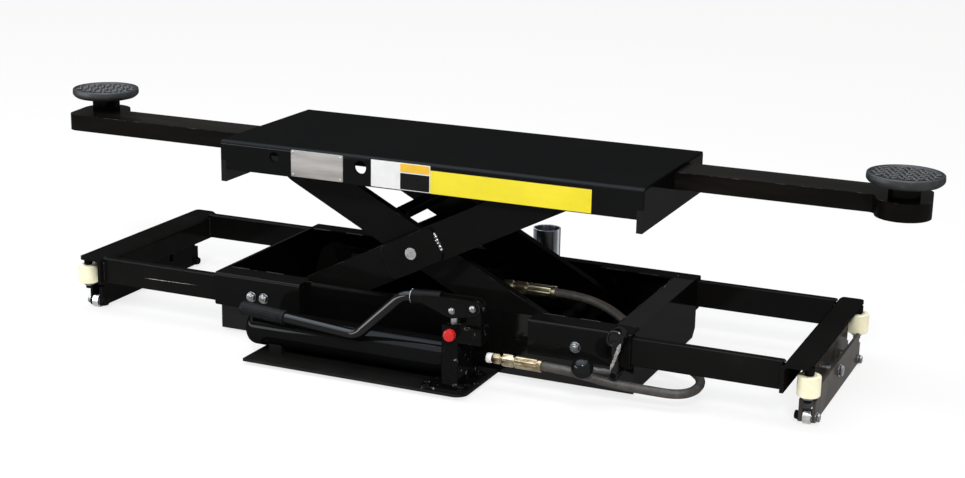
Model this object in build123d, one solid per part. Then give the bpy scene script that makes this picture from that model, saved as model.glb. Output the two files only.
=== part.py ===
from build123d import *
import os
from math import cos, pi, radians, sin, sqrt, tan

# Rolling bridge jack: a hydraulic scissor lift that hangs between two telescoping roller frames.
# Millimetres, +X along the jack, +Y to the back, +Z up; the rollers stand on z = 0 at the middle.

# Fits
RUN_FIT = 0.05          # radial clearance of a pin or shaft that turns in its bore
ROLL_GAP = 0.3          # between a roller's tread and the track that it runs on
SIDE_GAP = 1.0          # between neighbours that slide past each other

# Base tray and rail sleeves
BASE_LENGTH = 754.0
BASE_WIDTH = 329.0
BASE_BOTTOM = 6.0
BASE_TOP = 111.0
TRAY_SHEET = 5.0
TRAY_CHAMFER = 14.0     # along the tray's bottom back edge
END_FLANGE = 37.0       # inward flange along the right end wall's top
SLEEVE_SHEET = 4.0
SLEEVE_LEDGE = 40.5     # sleeve top, from its outer face inwards
SLEEVE_BOTTOM = 52.0
SLEEVE_BEND = 6.0
LEFT_SLEEVE = 166.0     # sleeve lengths from the base's ends
RIGHT_SLEEVE = 172.5
LOCK_BOLTS = ((-1, 73.0), (-1, 97.0), (1, 91.0))    # end of the base, distance in from it
LOCK_BOLT_Z = 76.5
LOCK_BOLT_R = 5.0
BOLT_HEAD_AF = 17.0
BOLT_HEAD = 7.0

# Telescoping roller frames
RIGHT_REACH = 660.6     # outer edges of the cross beams
LEFT_REACH = 654.9
RAIL_LENGTH = 398.6
RAIL_THICK = 15.0
RAIL_BOTTOM = 58.0
RAIL_TOP = 104.0
RAIL_SIDE_GAP = 0.8
RAIL_EDGE = 2.5
BEAM_WIDTH = 45.0
BEAM_SHEET = 6.0
BEAM_BEND = 12.0        # outside of the angle's bend
BEAM_CORNER = 8.0
BEAM_HALF = 191.4
BEAM_WEB_BOTTOM = 57.0
INNER_PLATE_BACK = 15.6     # outer face of the inner plate, in from the beam's outer edge
INNER_PLATE = 6.0
OUTER_PLATE = 5.0
PLATE_GAP = 15.0
INNER_PLATE_HALF = 157.0
OUTER_PLATE_HALF = 156.0
PLATE_NECK_HALF = 147.0     # both plates above the shoulder, clear of the guide rollers
PLATE_SHOULDER = 40.0
PLATE_BOTTOM = 4.5
OUTER_PLATE_TOP = 58.0
SLOT_Y = 65.0
SLOT_LOW = 28.0
SLOT_HIGH = 66.0
SLOT_WIDTH = 10.0
STEEL_ROLLER_R = 12.0
STEEL_ROLLER_WIDTH = 12.4
STEEL_ROLLER_Y = 150.0
AXLE_BOLT_R = 4.0
AXLE_BOLT_AF = 13.0
PLATE_BOLT_R = 5.0
PLATE_BOLT_AF = 17.0
PLATE_BOLT_Z = 40.0
PLATE_SPACER_R = 10.0
GUIDE_R = 18.0
GUIDE_LOW = 52.5
GUIDE_HIGH = 86.0
GUIDE_Y = 171.0
GUIDE_BACK = 5.0        # guide axis, in from the beam's outer edge
GUIDE_STUD_R = 6.0
GUIDE_SPACER_R = 7.5
GUIDE_NUT_AF = 16.0
GUIDE_NUT = 8.0

# Scissor
PIVOT_X = -247.2
PIVOT_Z = 64.0
LEG_LENGTH = 507.8      # between end pivots
FOLD = 27.19            # leg angle as modelled
FOLD_LOW = 11.0
FOLD_HIGH = 45.0
LEG_WIDTH = 62.0
LEG_THICK = 16.0
OUTER_LEG_Y = 125.8     # inner faces of the outer legs
INNER_LEG_Y = 98.7
PIN_R = 10.0
PIN_PROUD = 2.0
DOUBLER_LENGTH = 105.0
DOUBLER_WIDTH = 58.0
DOUBLER = 5.0
DOUBLER_CORNER = 10.0
SHAFT_R = 12.5
BOSS_R = 24.0
TORQUE_TUBE_R = 26.0
TORQUE_BORE_R = 15.0
CRANK_R = 51.0
CRANK_UPRIGHT_FOLD = 28.0
CRANK_PLATE = 10.0
CRANK_Y = 9.0           # inner faces of the crank plates
CRANK_ROOT_R = 29.0
CRANK_EYE_R = 16.0
CRANK_PIN_R = 9.0
CROSS_TUBE_R = 12.5
CROSS_TUBE_ALONG = 61.5     # from the centre pin along the inner legs
CROSS_TUBE_ABOVE = 26.4
CROSS_TUBE_WALL = 3.0
SCISSOR_ROLLER_R = 20.0
SCISSOR_ROLLER_WIDTH = 21.0
LOWER_ROLLER_GAP = 3.0      # from the inner leg
UPPER_ROLLER_INSET = 2.0    # from the upper track's inner edge
TRACK_THICK = 6.0
TRACK_DEPTH = 16.0      # the track angle's leg along the wall
TRACK_END = 24.0        # track beyond the roller's travel

# Platform
DECK_LENGTH = 756.0
DECK_WIDTH = 310.0
DECK_RISE = 41.0        # deck top above the upper pivots
DECK_SHEET = 5.0
DECK_BEND = 8.0
FLANGE_DROP = 9.4       # flange bottom below the upper pivots
END_BAR = 10.0
END_BAR_HEIGHT = 37.0
END_BAR_RISE = 6.0      # end bar top above the upper pivots
LUG_THICK = 8.0
LUG_R = 26.0
LUG_Y = 116.0
UPPER_TRACK_Y = 99.0
UPPER_TRACK_WIDTH = 25.0
FLANGE_HOLES = ((-273.8, 8.5), (-111.4, 11.0))     # place along the flange, radius
FLANGE_HOLE_RISE = 21.0

# Sliding arms and pads
ARM_WIDTH = 76.0
ARM_HEIGHT = 29.0
ARM_SPLIT = 1.0         # each arm's inner side, out from the middle
ARM_LENGTH = 782.0      # from the pad's axis to the inner end
ARM_DECK_GAP = 0.6
LEFT_PAD_X = -721.9
RIGHT_PAD_X = 743.8
HEAD_R = 43.5
HEAD_CORNER_R = 25.0    # bar's outer corner beside the head
HEAD_CORNER_OUT = 11.0  # centre of that corner, past the pad's axis
HEAD_FILLET = 10.0      # where the head meets the bar's inner side
GUIDE_BAR = 10.0
KEEPER_X = 110.0
KEEPER_WIDTH = 40.0
KEEPER = 5.0
PAD_R = 60.0
PAD_THICK = 17.0
PAD_EDGE = 4.0
PAD_RIB = 3.0
NECK_R = 24.5
NECK_HEIGHT = 22.5
SPIGOT_R = 15.0

# Cylinder
BARREL_R = 38.0
BARREL_BORE_R = 30.0
BARREL_LEFT = -30.0
BARREL_RIGHT = 92.0
BARREL_CAP = 14.0
GLAND = 18.0
ROD_R = 15.0
PISTON = 20.0
PISTON_X = 20.0
ROD_EYE_R = 18.0
ROD_EYE_NECK = 44.0     # flat neck of the rod's eye, from the crank pin
CRANK_SLOT_SIDE = 0.6   # clearance of the crank pin in the rod's eye
SADDLE_X = (-12.0, 46.0)
SADDLE = 10.0
SADDLE_HALF = 34.0
SADDLE_FOOT_HALF = 46.0
SADDLE_FOOT = 6.0
PORT_Y = -25.0
PORT_Z = 109.0

# Hand pump
PUMP_Y = -240.0         # reservoir axis
PUMP_PLATE_X = (-251.0, 146.5)
PUMP_PLATE_FRONT = -303.0
PUMP_PLATE = 5.0
PUMP_PLATE_CORNER = 20.0
PLATE_HOLES = ((-241.0, -271.0), (-239.0, -220.0))
PLATE_HOLE_R = 5.0
RESERVOIR_R = 30.0
RESERVOIR_Z = 48.0
RESERVOIR_LEFT = -271.0
RESERVOIR_DOME = 16.0
FOOT_X = (-226.0, -202.0)
FOOT_HALF = 22.0
HEAD_X = (102.0, 130.0)
HEAD_FRONT = -292.0
HEAD_BACK = -206.0
HEAD_TOP = 118.0
HEAD_EDGE = 4.0
SHELF_RIGHT = 170.0     # upper part of the head that carries the fulcrum lug
SHELF_BOTTOM = 92.0
SHELF_BACK = -258.0
HEAD_FOOT = 6.0
HEAD_FOOT_X = (72.0, 146.0)
HEAD_FOOT_SIDE = 16.0
HEAD_FOOT_FRONT = 10.0
FOOT_BOLT_R = 5.0
FOOT_BOLT_AF = 13.0
LEVER_Y = -276.0
FULCRUM = (154.0, 149.5)
PISTON_PIN = (119.0, 141.5)
LUG_HALF = 7.0
LEVER_LUG_R = 12.0
CHEEK = 5.6
CHEEK_GAP = 0.4
CHEEK_EYE_R = 12.0
LEVER_PIN_R = 4.5
LEVER_HEAD_R = 6.5
LEVER_HEAD = 4.0
SOCKET_R = 12.0
SOCKET_LENGTH = 45.0
PISTON_R = 7.0
PISTON_EYE_HALF = 6.0
PISTON_EYE_R = 11.0
PISTON_SLOT = 3.0
PISTON_SLOT_R = 5.5
PISTON_BOTTOM = 66.0
PISTON_WELL = 60.0
HANDLE_R = 9.0
HANDLE_ROUTE = ((-264.0, 88.7), (-54.0, 72.0), (28.0, 150.5), (91.0, 155.0))
HANDLE_BEND = 34.0
GRIP_R = 12.0
GRIP_LENGTH = 84.0
GRIP_END = 5.0
KNOB_X = 121.0
KNOB_Z = 106.0
KNOB_R = 11.0
KNOB_LENGTH = 13.0
KNOB_GAP = 2.0
KNOB_EDGE = 3.0
NEEDLE_R = 5.0
NEEDLE_DEPTH = 7.0
OUTLET_Y = -225.0
OUTLET_Z = 51.5
OUTLET_R = 9.0
SEAL_X = (153.0, 162.0)
SEAL_R = 11.0
NUT_AF = 24.0
HEX_AF = 21.0
CRIMP_R = 11.0
PUMP_NUT_END = 183.0
PUMP_HEX_END = 205.0
PORT_HEX_END = 118.0
PORT_NUT_END = 150.0

# Hose
HOSE_R = 7.5
HOSE_ROUTE = (
    (247.0, OUTLET_Y, OUTLET_Z), (288.0, OUTLET_Y, OUTLET_Z), (346.0, -207.0, 35.5), (395.0, -198.0, 29.5),
    (478.0, -192.0, 27.5), (478.0, -103.0, 31.0), (392.0, -88.0, 52.0), (332.0, -58.0, 82.0),
    (285.0, -26.0, 96.0), (233.0, PORT_Y, PORT_Z), (190.0, PORT_Y, PORT_Z),
)
HOSE_ARC_SHARE = 0.45
HOSE_HOLE = (-79.3, 60.7)
HOSE_HOLE_R = 12.0

# Safety latch
LATCH_INSET = 17.0      # shaft's axis, from the base's right end
LATCH_Z = 50.0
LATCH_SHAFT_R = 5.0
LATCH_HUB_R = 7.0
LATCH_BOSS_R = 15.0
LATCH_BOSS_Z = 109.0
LATCH_BOSS_Y = (-214.0, -189.0)
LATCH_ARM = 16.0
LATCH_FOOT = 10.0       # arm's depth where it leaves the hub
BALL_R = 17.0
BALL_REACH = 42.0       # from the shaft's axis
BALL_Y = -238.0
BALL_Z = 64.5
BALL_ROD_R = 4.5
BALL_ROD_FOOT = (-205.0, 52.0)     # where the rod's line meets the arm's middle
BAR_Y = (50.0, 62.0)
BAR_LOW = 20.0
BAR_HIGH = 36.0
BAR_HEEL_REACH = 56.0   # from the shaft to where the bar leaves the hub's taper
BAR_LEAD = 14.1         # bar's end, past its last tooth
BAR_TOOTH = 18.0
BAR_TOOTH_TOP = 50.0
BAR_TOOTH_CREST = 8.0
BAR_TEETH = 3
BAR_FIRST_TOOTH = 1.5   # pitches to the right of the axle as modelled
BAR_HUB_R = 10.0
LATCH_BEARING = 8.0

# Storage tube behind the base
TUBE_X = 78.0
TUBE_Y = 210.0
TUBE_R = 24.75
TUBE_WALL = 3.0
TUBE_LOW = 14.0
TUBE_TOP = 152.0
TUBE_LUG_HALF = 9.0
TUBE_LUG_TOP = 50.0

# Places that follow from the sizes above
BASE_HALF = BASE_LENGTH / 2
WALL_Y = BASE_WIDTH / 2
FLOOR_TOP = BASE_BOTTOM + TRAY_SHEET
LEDGE_LOW = BASE_TOP - SLEEVE_SHEET
RAIL_NEAR = WALL_Y + RAIL_SIDE_GAP
RAIL_FAR = RAIL_NEAR + RAIL_THICK
SLEEVE_Y = RAIL_FAR + RAIL_SIDE_GAP + SLEEVE_SHEET
SLEEVE_INNER_Y = SLEEVE_Y - SLEEVE_LEDGE
PIN_X = PIVOT_X + LEG_LENGTH / 2 * cos(radians(FOLD))
PIN_Z = PIVOT_Z + LEG_LENGTH / 2 * sin(radians(FOLD))
ROLLER_X = PIVOT_X + LEG_LENGTH * cos(radians(FOLD))
UPPER_Z = PIVOT_Z + LEG_LENGTH * sin(radians(FOLD))
ROLLER_LOW_X = PIVOT_X + LEG_LENGTH * cos(radians(FOLD_LOW))
ROLLER_HIGH_X = PIVOT_X + LEG_LENGTH * cos(radians(FOLD_HIGH))
OUTER_LEG_FAR = OUTER_LEG_Y + LEG_THICK
INNER_LEG_FAR = INNER_LEG_Y + LEG_THICK
CRANK_ANGLE = radians(90 + FOLD - CRANK_UPRIGHT_FOLD)
CRANK_X = PIVOT_X + CRANK_R * cos(CRANK_ANGLE)
CRANK_Z = PIVOT_Z + CRANK_R * sin(CRANK_ANGLE)
CRANK_SWING = radians(max(FOLD_HIGH - CRANK_UPRIGHT_FOLD, CRANK_UPRIGHT_FOLD - FOLD_LOW))
CRANK_DROP = CRANK_R * (1 - cos(CRANK_SWING))
CYLINDER_Z = CRANK_Z
DECK_TOP = UPPER_Z + DECK_RISE
DECK_UNDER = DECK_TOP - DECK_SHEET
DECK_HALF = DECK_LENGTH / 2
DECK_Y = DECK_WIDTH / 2
FLANGE_BOTTOM = UPPER_Z - FLANGE_DROP
END_BAR_TOP = UPPER_Z + END_BAR_RISE
ARM_TOP = DECK_UNDER - ARM_DECK_GAP
ARM_BOTTOM = ARM_TOP - ARM_HEIGHT
ARM_SIDE = ARM_SPLIT + ARM_WIDTH
GUIDE_BAR_Y = ARM_SIDE + SIDE_GAP
PAD_BOTTOM = ARM_TOP + NECK_HEIGHT
PLATE_TOP = BASE_BOTTOM + PUMP_PLATE
LATCH_X = BASE_HALF - LATCH_INSET
BALL_X = LATCH_X - BALL_REACH
LATCH_PITCH = ROLLER_LOW_X - ROLLER_X
BAR_HEEL = LATCH_X - BAR_HEEL_REACH
BAR_LAST_TOOTH = ROLLER_X + LATCH_PITCH * (BAR_FIRST_TOOTH - BAR_TEETH + 1) - BAR_TOOTH / 2
BAR_TIP = BAR_LAST_TOOTH - BAR_LEAD
SOCKET_END = HANDLE_ROUTE[-1]
BOTH = (-1, 1)


def span(side, near, far):
    """Limits on one side of the middle plane, as (low, high)."""
    return tuple(sorted((side * near, side * far)))


def block(x, y, z):
    """A block between (low, high) limits along each axis."""
    low = (Align.MIN, Align.MIN, Align.MIN)
    return Pos(x[0], y[0], z[0]) * Box(x[1] - x[0], y[1] - y[0], z[1] - z[0], align=low)


def rod_x(radius, x, y, z):
    standing = (Align.CENTER, Align.CENTER, Align.MIN)
    return Pos(x[0], y, z) * Rot(0, 90, 0) * Cylinder(radius, x[1] - x[0], align=standing)


def rod_y(radius, x, y, z):
    standing = (Align.CENTER, Align.CENTER, Align.MIN)
    return Pos(x, y[0], z) * Rot(-90, 0, 0) * Cylinder(radius, y[1] - y[0], align=standing)


def rod_z(radius, x, y, z):
    standing = (Align.CENTER, Align.CENTER, Align.MIN)
    return Pos(x, y, z[0]) * Cylinder(radius, z[1] - z[0], align=standing)


def hexagon(across_flats, length):
    """A hexagonal prism that stands on the XY plane."""
    return extrude(RegularPolygon(across_flats / 2, 6, major_radius=False), length, dir=(0, 0, 1))


def hex_x(across_flats, x, y, z):
    return Pos(x[0], y, z) * Rot(0, 90, 0) * hexagon(across_flats, x[1] - x[0])


def hex_y(across_flats, x, y, z):
    return Pos(x, y[0], z) * Rot(-90, 0, 0) * hexagon(across_flats, y[1] - y[0])


def hex_z(across_flats, x, y, z):
    return Pos(x, y, z[0]) * hexagon(across_flats, z[1] - z[0])


def prism_x(outline, x):
    """An outline drawn in Y and Z, carried along X."""
    return extrude(Plane.YZ.offset(x[0]) * outline, x[1] - x[0], dir=(1, 0, 0))


def prism_y(outline, y):
    """An outline drawn in X and Z, carried along Y."""
    return extrude(Plane.XZ.offset(-y[0]) * outline, y[1] - y[0], dir=(0, 1, 0))


def prism_z(outline, z):
    return extrude(Plane.XY.offset(z[0]) * outline, z[1] - z[0], dir=(0, 0, 1))


def disc(place, radius):
    return Pos(*place) * Circle(radius)


def oblong(x, y):
    """A rectangle between (low, high) limits."""
    return Pos((x[0] + x[1]) / 2, (y[0] + y[1]) / 2) * Rectangle(x[1] - x[0], y[1] - y[0])


def hull(*shapes):
    """The outline of a string drawn tight round the shapes."""
    edges = ShapeList()
    for shape in shapes:
        edges += shape.edges()
    return make_hull(edges)


def save(node, *solids):
    shape = solids[0] if len(solids) == 1 else Compound(children=list(solids))
    shape.label = node
    export_step(shape, f"parts/{node}.step")


def tray_section(top):
    """Outside of the tray's section, chamfered along the bottom back edge."""
    return Polygon(
        (-WALL_Y, BASE_BOTTOM), (WALL_Y - TRAY_CHAMFER, BASE_BOTTOM), (WALL_Y, BASE_BOTTOM + TRAY_CHAMFER),
        (WALL_Y, top), (-WALL_Y, top),
    )


def tray_hollow(top):
    """Inside of the same section, one sheet further in."""
    inner_y = WALL_Y - TRAY_SHEET
    corner = TRAY_CHAMFER + TRAY_SHEET * (sqrt(2) - 1)
    return Polygon(
        (-inner_y, FLOOR_TOP), (WALL_Y - corner, FLOOR_TOP), (inner_y, BASE_BOTTOM + corner),
        (inner_y, top), (-inner_y, top),
    )


def base_tray():
    inside = (TRAY_SHEET - BASE_HALF, BASE_HALF - TRAY_SHEET)
    tray = prism_x(tray_section(LEDGE_LOW), (-BASE_HALF, BASE_HALF))
    tray -= prism_x(tray_hollow(BASE_TOP), inside)
    inner_y = WALL_Y - TRAY_SHEET
    boss_y = OUTER_LEG_FAR + SIDE_GAP
    top = (LEDGE_LOW, BASE_TOP)
    tray += block((LEFT_SLEEVE - BASE_HALF, BASE_HALF - RIGHT_SLEEVE), (-WALL_Y, -inner_y), top)
    end_y = (-SLEEVE_INNER_Y, SLEEVE_INNER_Y)
    tray += block((-BASE_HALF, TRAY_SHEET - BASE_HALF), end_y, top)
    tray += block((BASE_HALF - END_FLANGE, BASE_HALF), end_y, top)
    for side in BOTH:
        tray += rod_y(BOSS_R, PIVOT_X, span(side, boss_y, inner_y), PIVOT_Z)
    tray -= rod_y(SHAFT_R + RUN_FIT, PIVOT_X, (-inner_y, inner_y), PIVOT_Z)
    tray -= rod_x(HOSE_HOLE_R, (BASE_HALF - TRAY_SHEET, BASE_HALF), *HOSE_HOLE)
    bearing_y = BAR_Y[1] + SIDE_GAP
    bearing_x = (LATCH_X - LATCH_BEARING, LATCH_X + LATCH_BEARING)
    bearing = oblong(bearing_x, (FLOOR_TOP, LATCH_Z + LATCH_BEARING))
    tray += prism_y(bearing, (bearing_y, bearing_y + LATCH_BEARING))
    rest_x = (BAR_TIP, BAR_TIP + BAR_TOOTH)
    tray += block(rest_x, BAR_Y, (FLOOR_TOP, BAR_LOW - ROLL_GAP))
    tray -= rod_y(LATCH_SHAFT_R + RUN_FIT, LATCH_X, (-WALL_Y, bearing_y + LATCH_BEARING), LATCH_Z)
    return tray


def rail_sleeve(side, x, inner_y):
    """A bent sheet that holds one rail against the tray's wall."""
    outer = block(x, span(side, WALL_Y, SLEEVE_Y), (SLEEVE_BOTTOM, BASE_TOP))
    outer += block(x, span(side, inner_y, WALL_Y), (LEDGE_LOW, BASE_TOP))
    bends = outer.edges().filter_by(Axis.X).sort_by(lambda edge: -side * edge.center().Y)[:2]
    outer = fillet(bends, SLEEVE_BEND)
    sleeve = outer - block(x, span(side, WALL_Y, SLEEVE_Y - SLEEVE_SHEET),
                           (SLEEVE_BOTTOM + SLEEVE_SHEET, LEDGE_LOW))
    sleeve -= rod_y(LATCH_SHAFT_R + SIDE_GAP, LATCH_X, (-SLEEVE_Y, -WALL_Y), LATCH_Z)
    for end, inset in LOCK_BOLTS:
        bolt_x = end * (BASE_HALF - inset)
        sleeve -= rod_y(LOCK_BOLT_R + RUN_FIT, bolt_x, (-SLEEVE_Y, SLEEVE_SHEET - SLEEVE_Y), LOCK_BOLT_Z)
    return sleeve


def rail_sleeves():
    left = (-BASE_HALF, LEFT_SLEEVE - BASE_HALF)
    right = (BASE_HALF - RIGHT_SLEEVE, BASE_HALF)
    ends = [rail_sleeve(side, x, SLEEVE_INNER_Y) for x in (left, right) for side in BOTH]
    return ends + [rail_sleeve(1, (left[1], right[0]), WALL_Y - TRAY_SHEET)]


def lock_bolts():
    bolts = []
    for end, inset in LOCK_BOLTS:
        bolt_x = end * (BASE_HALF - inset)
        tip = -RAIL_FAR - RAIL_SIDE_GAP / 2
        shank = rod_y(LOCK_BOLT_R, bolt_x, (-SLEEVE_Y, tip), LOCK_BOLT_Z)
        bolts.append(shank + hex_y(BOLT_HEAD_AF, bolt_x, (-SLEEVE_Y - BOLT_HEAD, -SLEEVE_Y), LOCK_BOLT_Z))
    return bolts


def roller_tracks():
    """Angles along the tray's walls that carry the lower scissor rollers."""
    top = PIVOT_Z - SCISSOR_ROLLER_R
    x = (ROLLER_HIGH_X - TRACK_END, ROLLER_LOW_X + TRACK_END)
    wall = WALL_Y - TRAY_SHEET
    edge = INNER_LEG_FAR + LOWER_ROLLER_GAP - SIDE_GAP
    tracks = []
    for side in BOTH:
        shelf = block(x, span(side, edge, wall), (top - TRACK_THICK, top))
        tracks.append(shelf + block(x, span(side, wall - TRACK_THICK, wall), (top - TRACK_DEPTH, top)))
    return tracks


def pump_plate():
    left, right = PUMP_PLATE_X
    plate = block((left, right), (PUMP_PLATE_FRONT, -WALL_Y), (BASE_BOTTOM, PLATE_TOP))
    corner = plate.edges().filter_by(Axis.Z).group_by(Axis.Y)[0].sort_by(Axis.X)[-1]
    plate = fillet(corner, PUMP_PLATE_CORNER)
    for x, y in PLATE_HOLES:
        plate -= rod_z(PLATE_HOLE_R, x, y, (BASE_BOTTOM, PLATE_TOP))
    saddle = block(FOOT_X, (PUMP_Y - FOOT_HALF, PUMP_Y + FOOT_HALF), (PLATE_TOP, RESERVOIR_Z))
    return plate + saddle - rod_x(RESERVOIR_R, FOOT_X, PUMP_Y, RESERVOIR_Z)


def storage_tube():
    tube = rod_z(TUBE_R, TUBE_X, TUBE_Y, (TUBE_LOW, TUBE_TOP))
    lug_x = (TUBE_X - TUBE_LUG_HALF, TUBE_X + TUBE_LUG_HALF)
    tube += block(lug_x, (WALL_Y, TUBE_Y), (BASE_BOTTOM + TRAY_CHAMFER, TUBE_LUG_TOP))
    return tube - rod_z(TUBE_R - TUBE_WALL, TUBE_X, TUBE_Y, (TUBE_LOW + TUBE_WALL, TUBE_TOP))


def cylinder_bracket():
    foot_x = (SADDLE_X[0] - SADDLE, SADDLE_X[1] + 2 * SADDLE)
    bracket = block(foot_x, (-SADDLE_FOOT_HALF, SADDLE_FOOT_HALF), (FLOOR_TOP, FLOOR_TOP + SADDLE_FOOT))
    cradle = hull(oblong((-SADDLE_FOOT_HALF, SADDLE_FOOT_HALF), (FLOOR_TOP, FLOOR_TOP + SADDLE_FOOT)),
                  oblong((-SADDLE_HALF, SADDLE_HALF), (CYLINDER_Z - ROD_R - SADDLE, CYLINDER_Z - ROD_R)))
    for x in SADDLE_X:
        bracket += prism_x(cradle, (x, x + SADDLE))
    return bracket - rod_x(BARREL_R, (BARREL_LEFT, BARREL_RIGHT), 0, CYLINDER_Z)


def cylinder_barrel():
    barrel = rod_x(BARREL_R, (BARREL_LEFT, BARREL_RIGHT), 0, CYLINDER_Z)
    return barrel - rod_x(BARREL_BORE_R, (BARREL_LEFT, BARREL_RIGHT - BARREL_CAP), 0, CYLINDER_Z)


def cylinder_gland():
    x = (BARREL_LEFT, BARREL_LEFT + GLAND)
    return rod_x(BARREL_BORE_R, x, 0, CYLINDER_Z) - rod_x(ROD_R + RUN_FIT, x, 0, CYLINDER_Z)


def cylinder_rod():
    """Piston, rod and a slotted eye that takes up the rise and fall of the crank pin."""
    neck_end = CRANK_X + ROD_EYE_NECK
    eye = disc((CRANK_X, CRANK_Z), ROD_EYE_R)
    eye += oblong((CRANK_X, neck_end), (CYLINDER_Z - ROD_R, CYLINDER_Z + ROD_R))
    slot_place = Pos(CRANK_X, CRANK_Z - CRANK_DROP / 2)
    slot_width = 2 * (CRANK_PIN_R + CRANK_SLOT_SIDE)
    eye -= slot_place * SlotCenterToCenter(CRANK_DROP, slot_width, rotation=90)
    half = CRANK_Y - SIDE_GAP
    rod = prism_y(eye, (-half, half)) + rod_x(ROD_R, (neck_end, PISTON_X), 0, CYLINDER_Z)
    return rod + rod_x(BARREL_BORE_R - RUN_FIT, (PISTON_X, PISTON_X + PISTON), 0, CYLINDER_Z)


def cylinder_hose_end():
    start = BARREL_RIGHT
    end = hex_x(NUT_AF, (start, PORT_HEX_END), PORT_Y, PORT_Z)
    end += hex_x(HEX_AF, (PORT_HEX_END, PORT_NUT_END), PORT_Y, PORT_Z)
    return end + rod_x(CRIMP_R, (PORT_NUT_END, HOSE_ROUTE[-1][0]), PORT_Y, PORT_Z)


def pump_hose_end():
    end = hex_x(NUT_AF, (SEAL_X[1], PUMP_NUT_END), OUTLET_Y, OUTLET_Z)
    end += hex_x(HEX_AF, (PUMP_NUT_END, PUMP_HEX_END), OUTLET_Y, OUTLET_Z)
    return end + rod_x(CRIMP_R, (PUMP_HEX_END, HOSE_ROUTE[0][0]), OUTLET_Y, OUTLET_Z)


def hose_radii():
    """Each bend as large as its two runs allow."""
    points = [Vector(*point) for point in HOSE_ROUTE]
    radii = []
    for before, point, after in zip(points, points[1:], points[2:]):
        turn = radians((point - before).get_angle(after - point))
        shorter = min((point - before).length, (after - point).length)
        radii.append(HOSE_ARC_SHARE * shorter / tan(turn / 2))
    return radii


def hose():
    radii = hose_radii()
    print("hose bend radii", [round(radius) for radius in radii])
    path = FilletPolyline(*HOSE_ROUTE, radius=radii)
    tube = sweep(Plane(origin=path @ 0, z_dir=path % 0) * Circle(HOSE_R), path=path)
    volume_ratio = tube.volume / (pi * HOSE_R**2 * path.length)
    print("hose length", round(path.length), "volume ratio", round(volume_ratio, 4))
    return tube


def reservoir():
    tank = rod_x(RESERVOIR_R, (RESERVOIR_LEFT, HEAD_X[0]), PUMP_Y, RESERVOIR_Z)
    return fillet(tank.edges().sort_by(Axis.X)[0], RESERVOIR_DOME)


def pump_head():
    """Cast head: a block on a foot, with a shelf and a lug for the lever's fulcrum."""
    left, right = HEAD_X
    head = block((left, right), (HEAD_FRONT, HEAD_BACK), (PLATE_TOP, HEAD_TOP))
    head += block((left, SHELF_RIGHT), (HEAD_FRONT, SHELF_BACK), (SHELF_BOTTOM, HEAD_TOP))
    head = fillet(head.edges().filter_by(Axis.Z), HEAD_EDGE)
    head += block(HEAD_FOOT_X, (HEAD_FRONT - HEAD_FOOT_FRONT, HEAD_BACK), (PLATE_TOP, PLATE_TOP + HEAD_FOOT))
    fulcrum_x, fulcrum_z = FULCRUM
    lug = disc(FULCRUM, LEVER_LUG_R)
    lug += oblong((fulcrum_x - LEVER_LUG_R, fulcrum_x + LEVER_LUG_R), (HEAD_TOP, fulcrum_z))
    lug -= disc(FULCRUM, LEVER_PIN_R + RUN_FIT)
    head += prism_y(lug, (LEVER_Y - LUG_HALF, LEVER_Y + LUG_HALF))
    head -= rod_z(PISTON_R + RUN_FIT, PISTON_PIN[0], LEVER_Y, (PISTON_WELL, HEAD_TOP))
    head -= rod_y(NEEDLE_R + RUN_FIT, KNOB_X, (HEAD_FRONT, HEAD_FRONT + NEEDLE_DEPTH + SIDE_GAP), KNOB_Z)
    for x, y in foot_bolt_places():
        head -= rod_z(FOOT_BOLT_R, x, y, (PLATE_TOP, PLATE_TOP + HEAD_FOOT))
    return head


def foot_bolt_places():
    left = HEAD_FOOT_X[0] + HEAD_FOOT_SIDE / 2
    right = HEAD_FOOT_X[1] - HEAD_FOOT_SIDE / 2
    front = HEAD_FRONT - HEAD_FOOT_FRONT / 2 + BOLT_HEAD / 2
    back = HEAD_BACK - HEAD_FOOT_SIDE
    return [(left, front), (right, front), (right, back)]


def pump_bolts():
    top = PLATE_TOP + HEAD_FOOT
    bolts = []
    for x, y in foot_bolt_places():
        shank = rod_z(FOOT_BOLT_R, x, y, (PLATE_TOP, top))
        bolts.append(shank + hex_z(FOOT_BOLT_AF, x, y, (top, top + BOLT_HEAD)))
    return bolts


def lever_socket():
    """A sleeve for the handle, welded between two cheeks that straddle the fulcrum lug."""
    end_x, end_z = SOCKET_END
    bend_x, bend_z = HANDLE_ROUTE[-2]
    line = Vector(end_x - bend_x, 0, end_z - bend_z).normalized()
    end = Vector(end_x, LEVER_Y, end_z) + line * RUN_FIT
    sleeve_plane = Plane(origin=end - line * SOCKET_LENGTH, z_dir=line)
    sleeve = extrude(sleeve_plane * Circle(SOCKET_R), SOCKET_LENGTH + CHEEK, dir=line)
    middle = end - line * SOCKET_LENGTH / 2
    cheek = hull(disc((middle.X, middle.Z), SOCKET_R / 2), disc((end_x, end_z), SOCKET_R / 2),
                 disc(FULCRUM, CHEEK_EYE_R), disc(PISTON_PIN, CHEEK_EYE_R))
    for pin in (FULCRUM, PISTON_PIN):
        cheek -= disc(pin, LEVER_PIN_R + RUN_FIT)
    near = LUG_HALF + CHEEK_GAP
    for side in BOTH:
        low, high = span(side, near, near + CHEEK)
        sleeve += prism_y(cheek, (LEVER_Y + low, LEVER_Y + high))
    return sleeve - extrude(sleeve_plane * Circle(HANDLE_R + RUN_FIT), SOCKET_LENGTH, dir=line)


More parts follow.
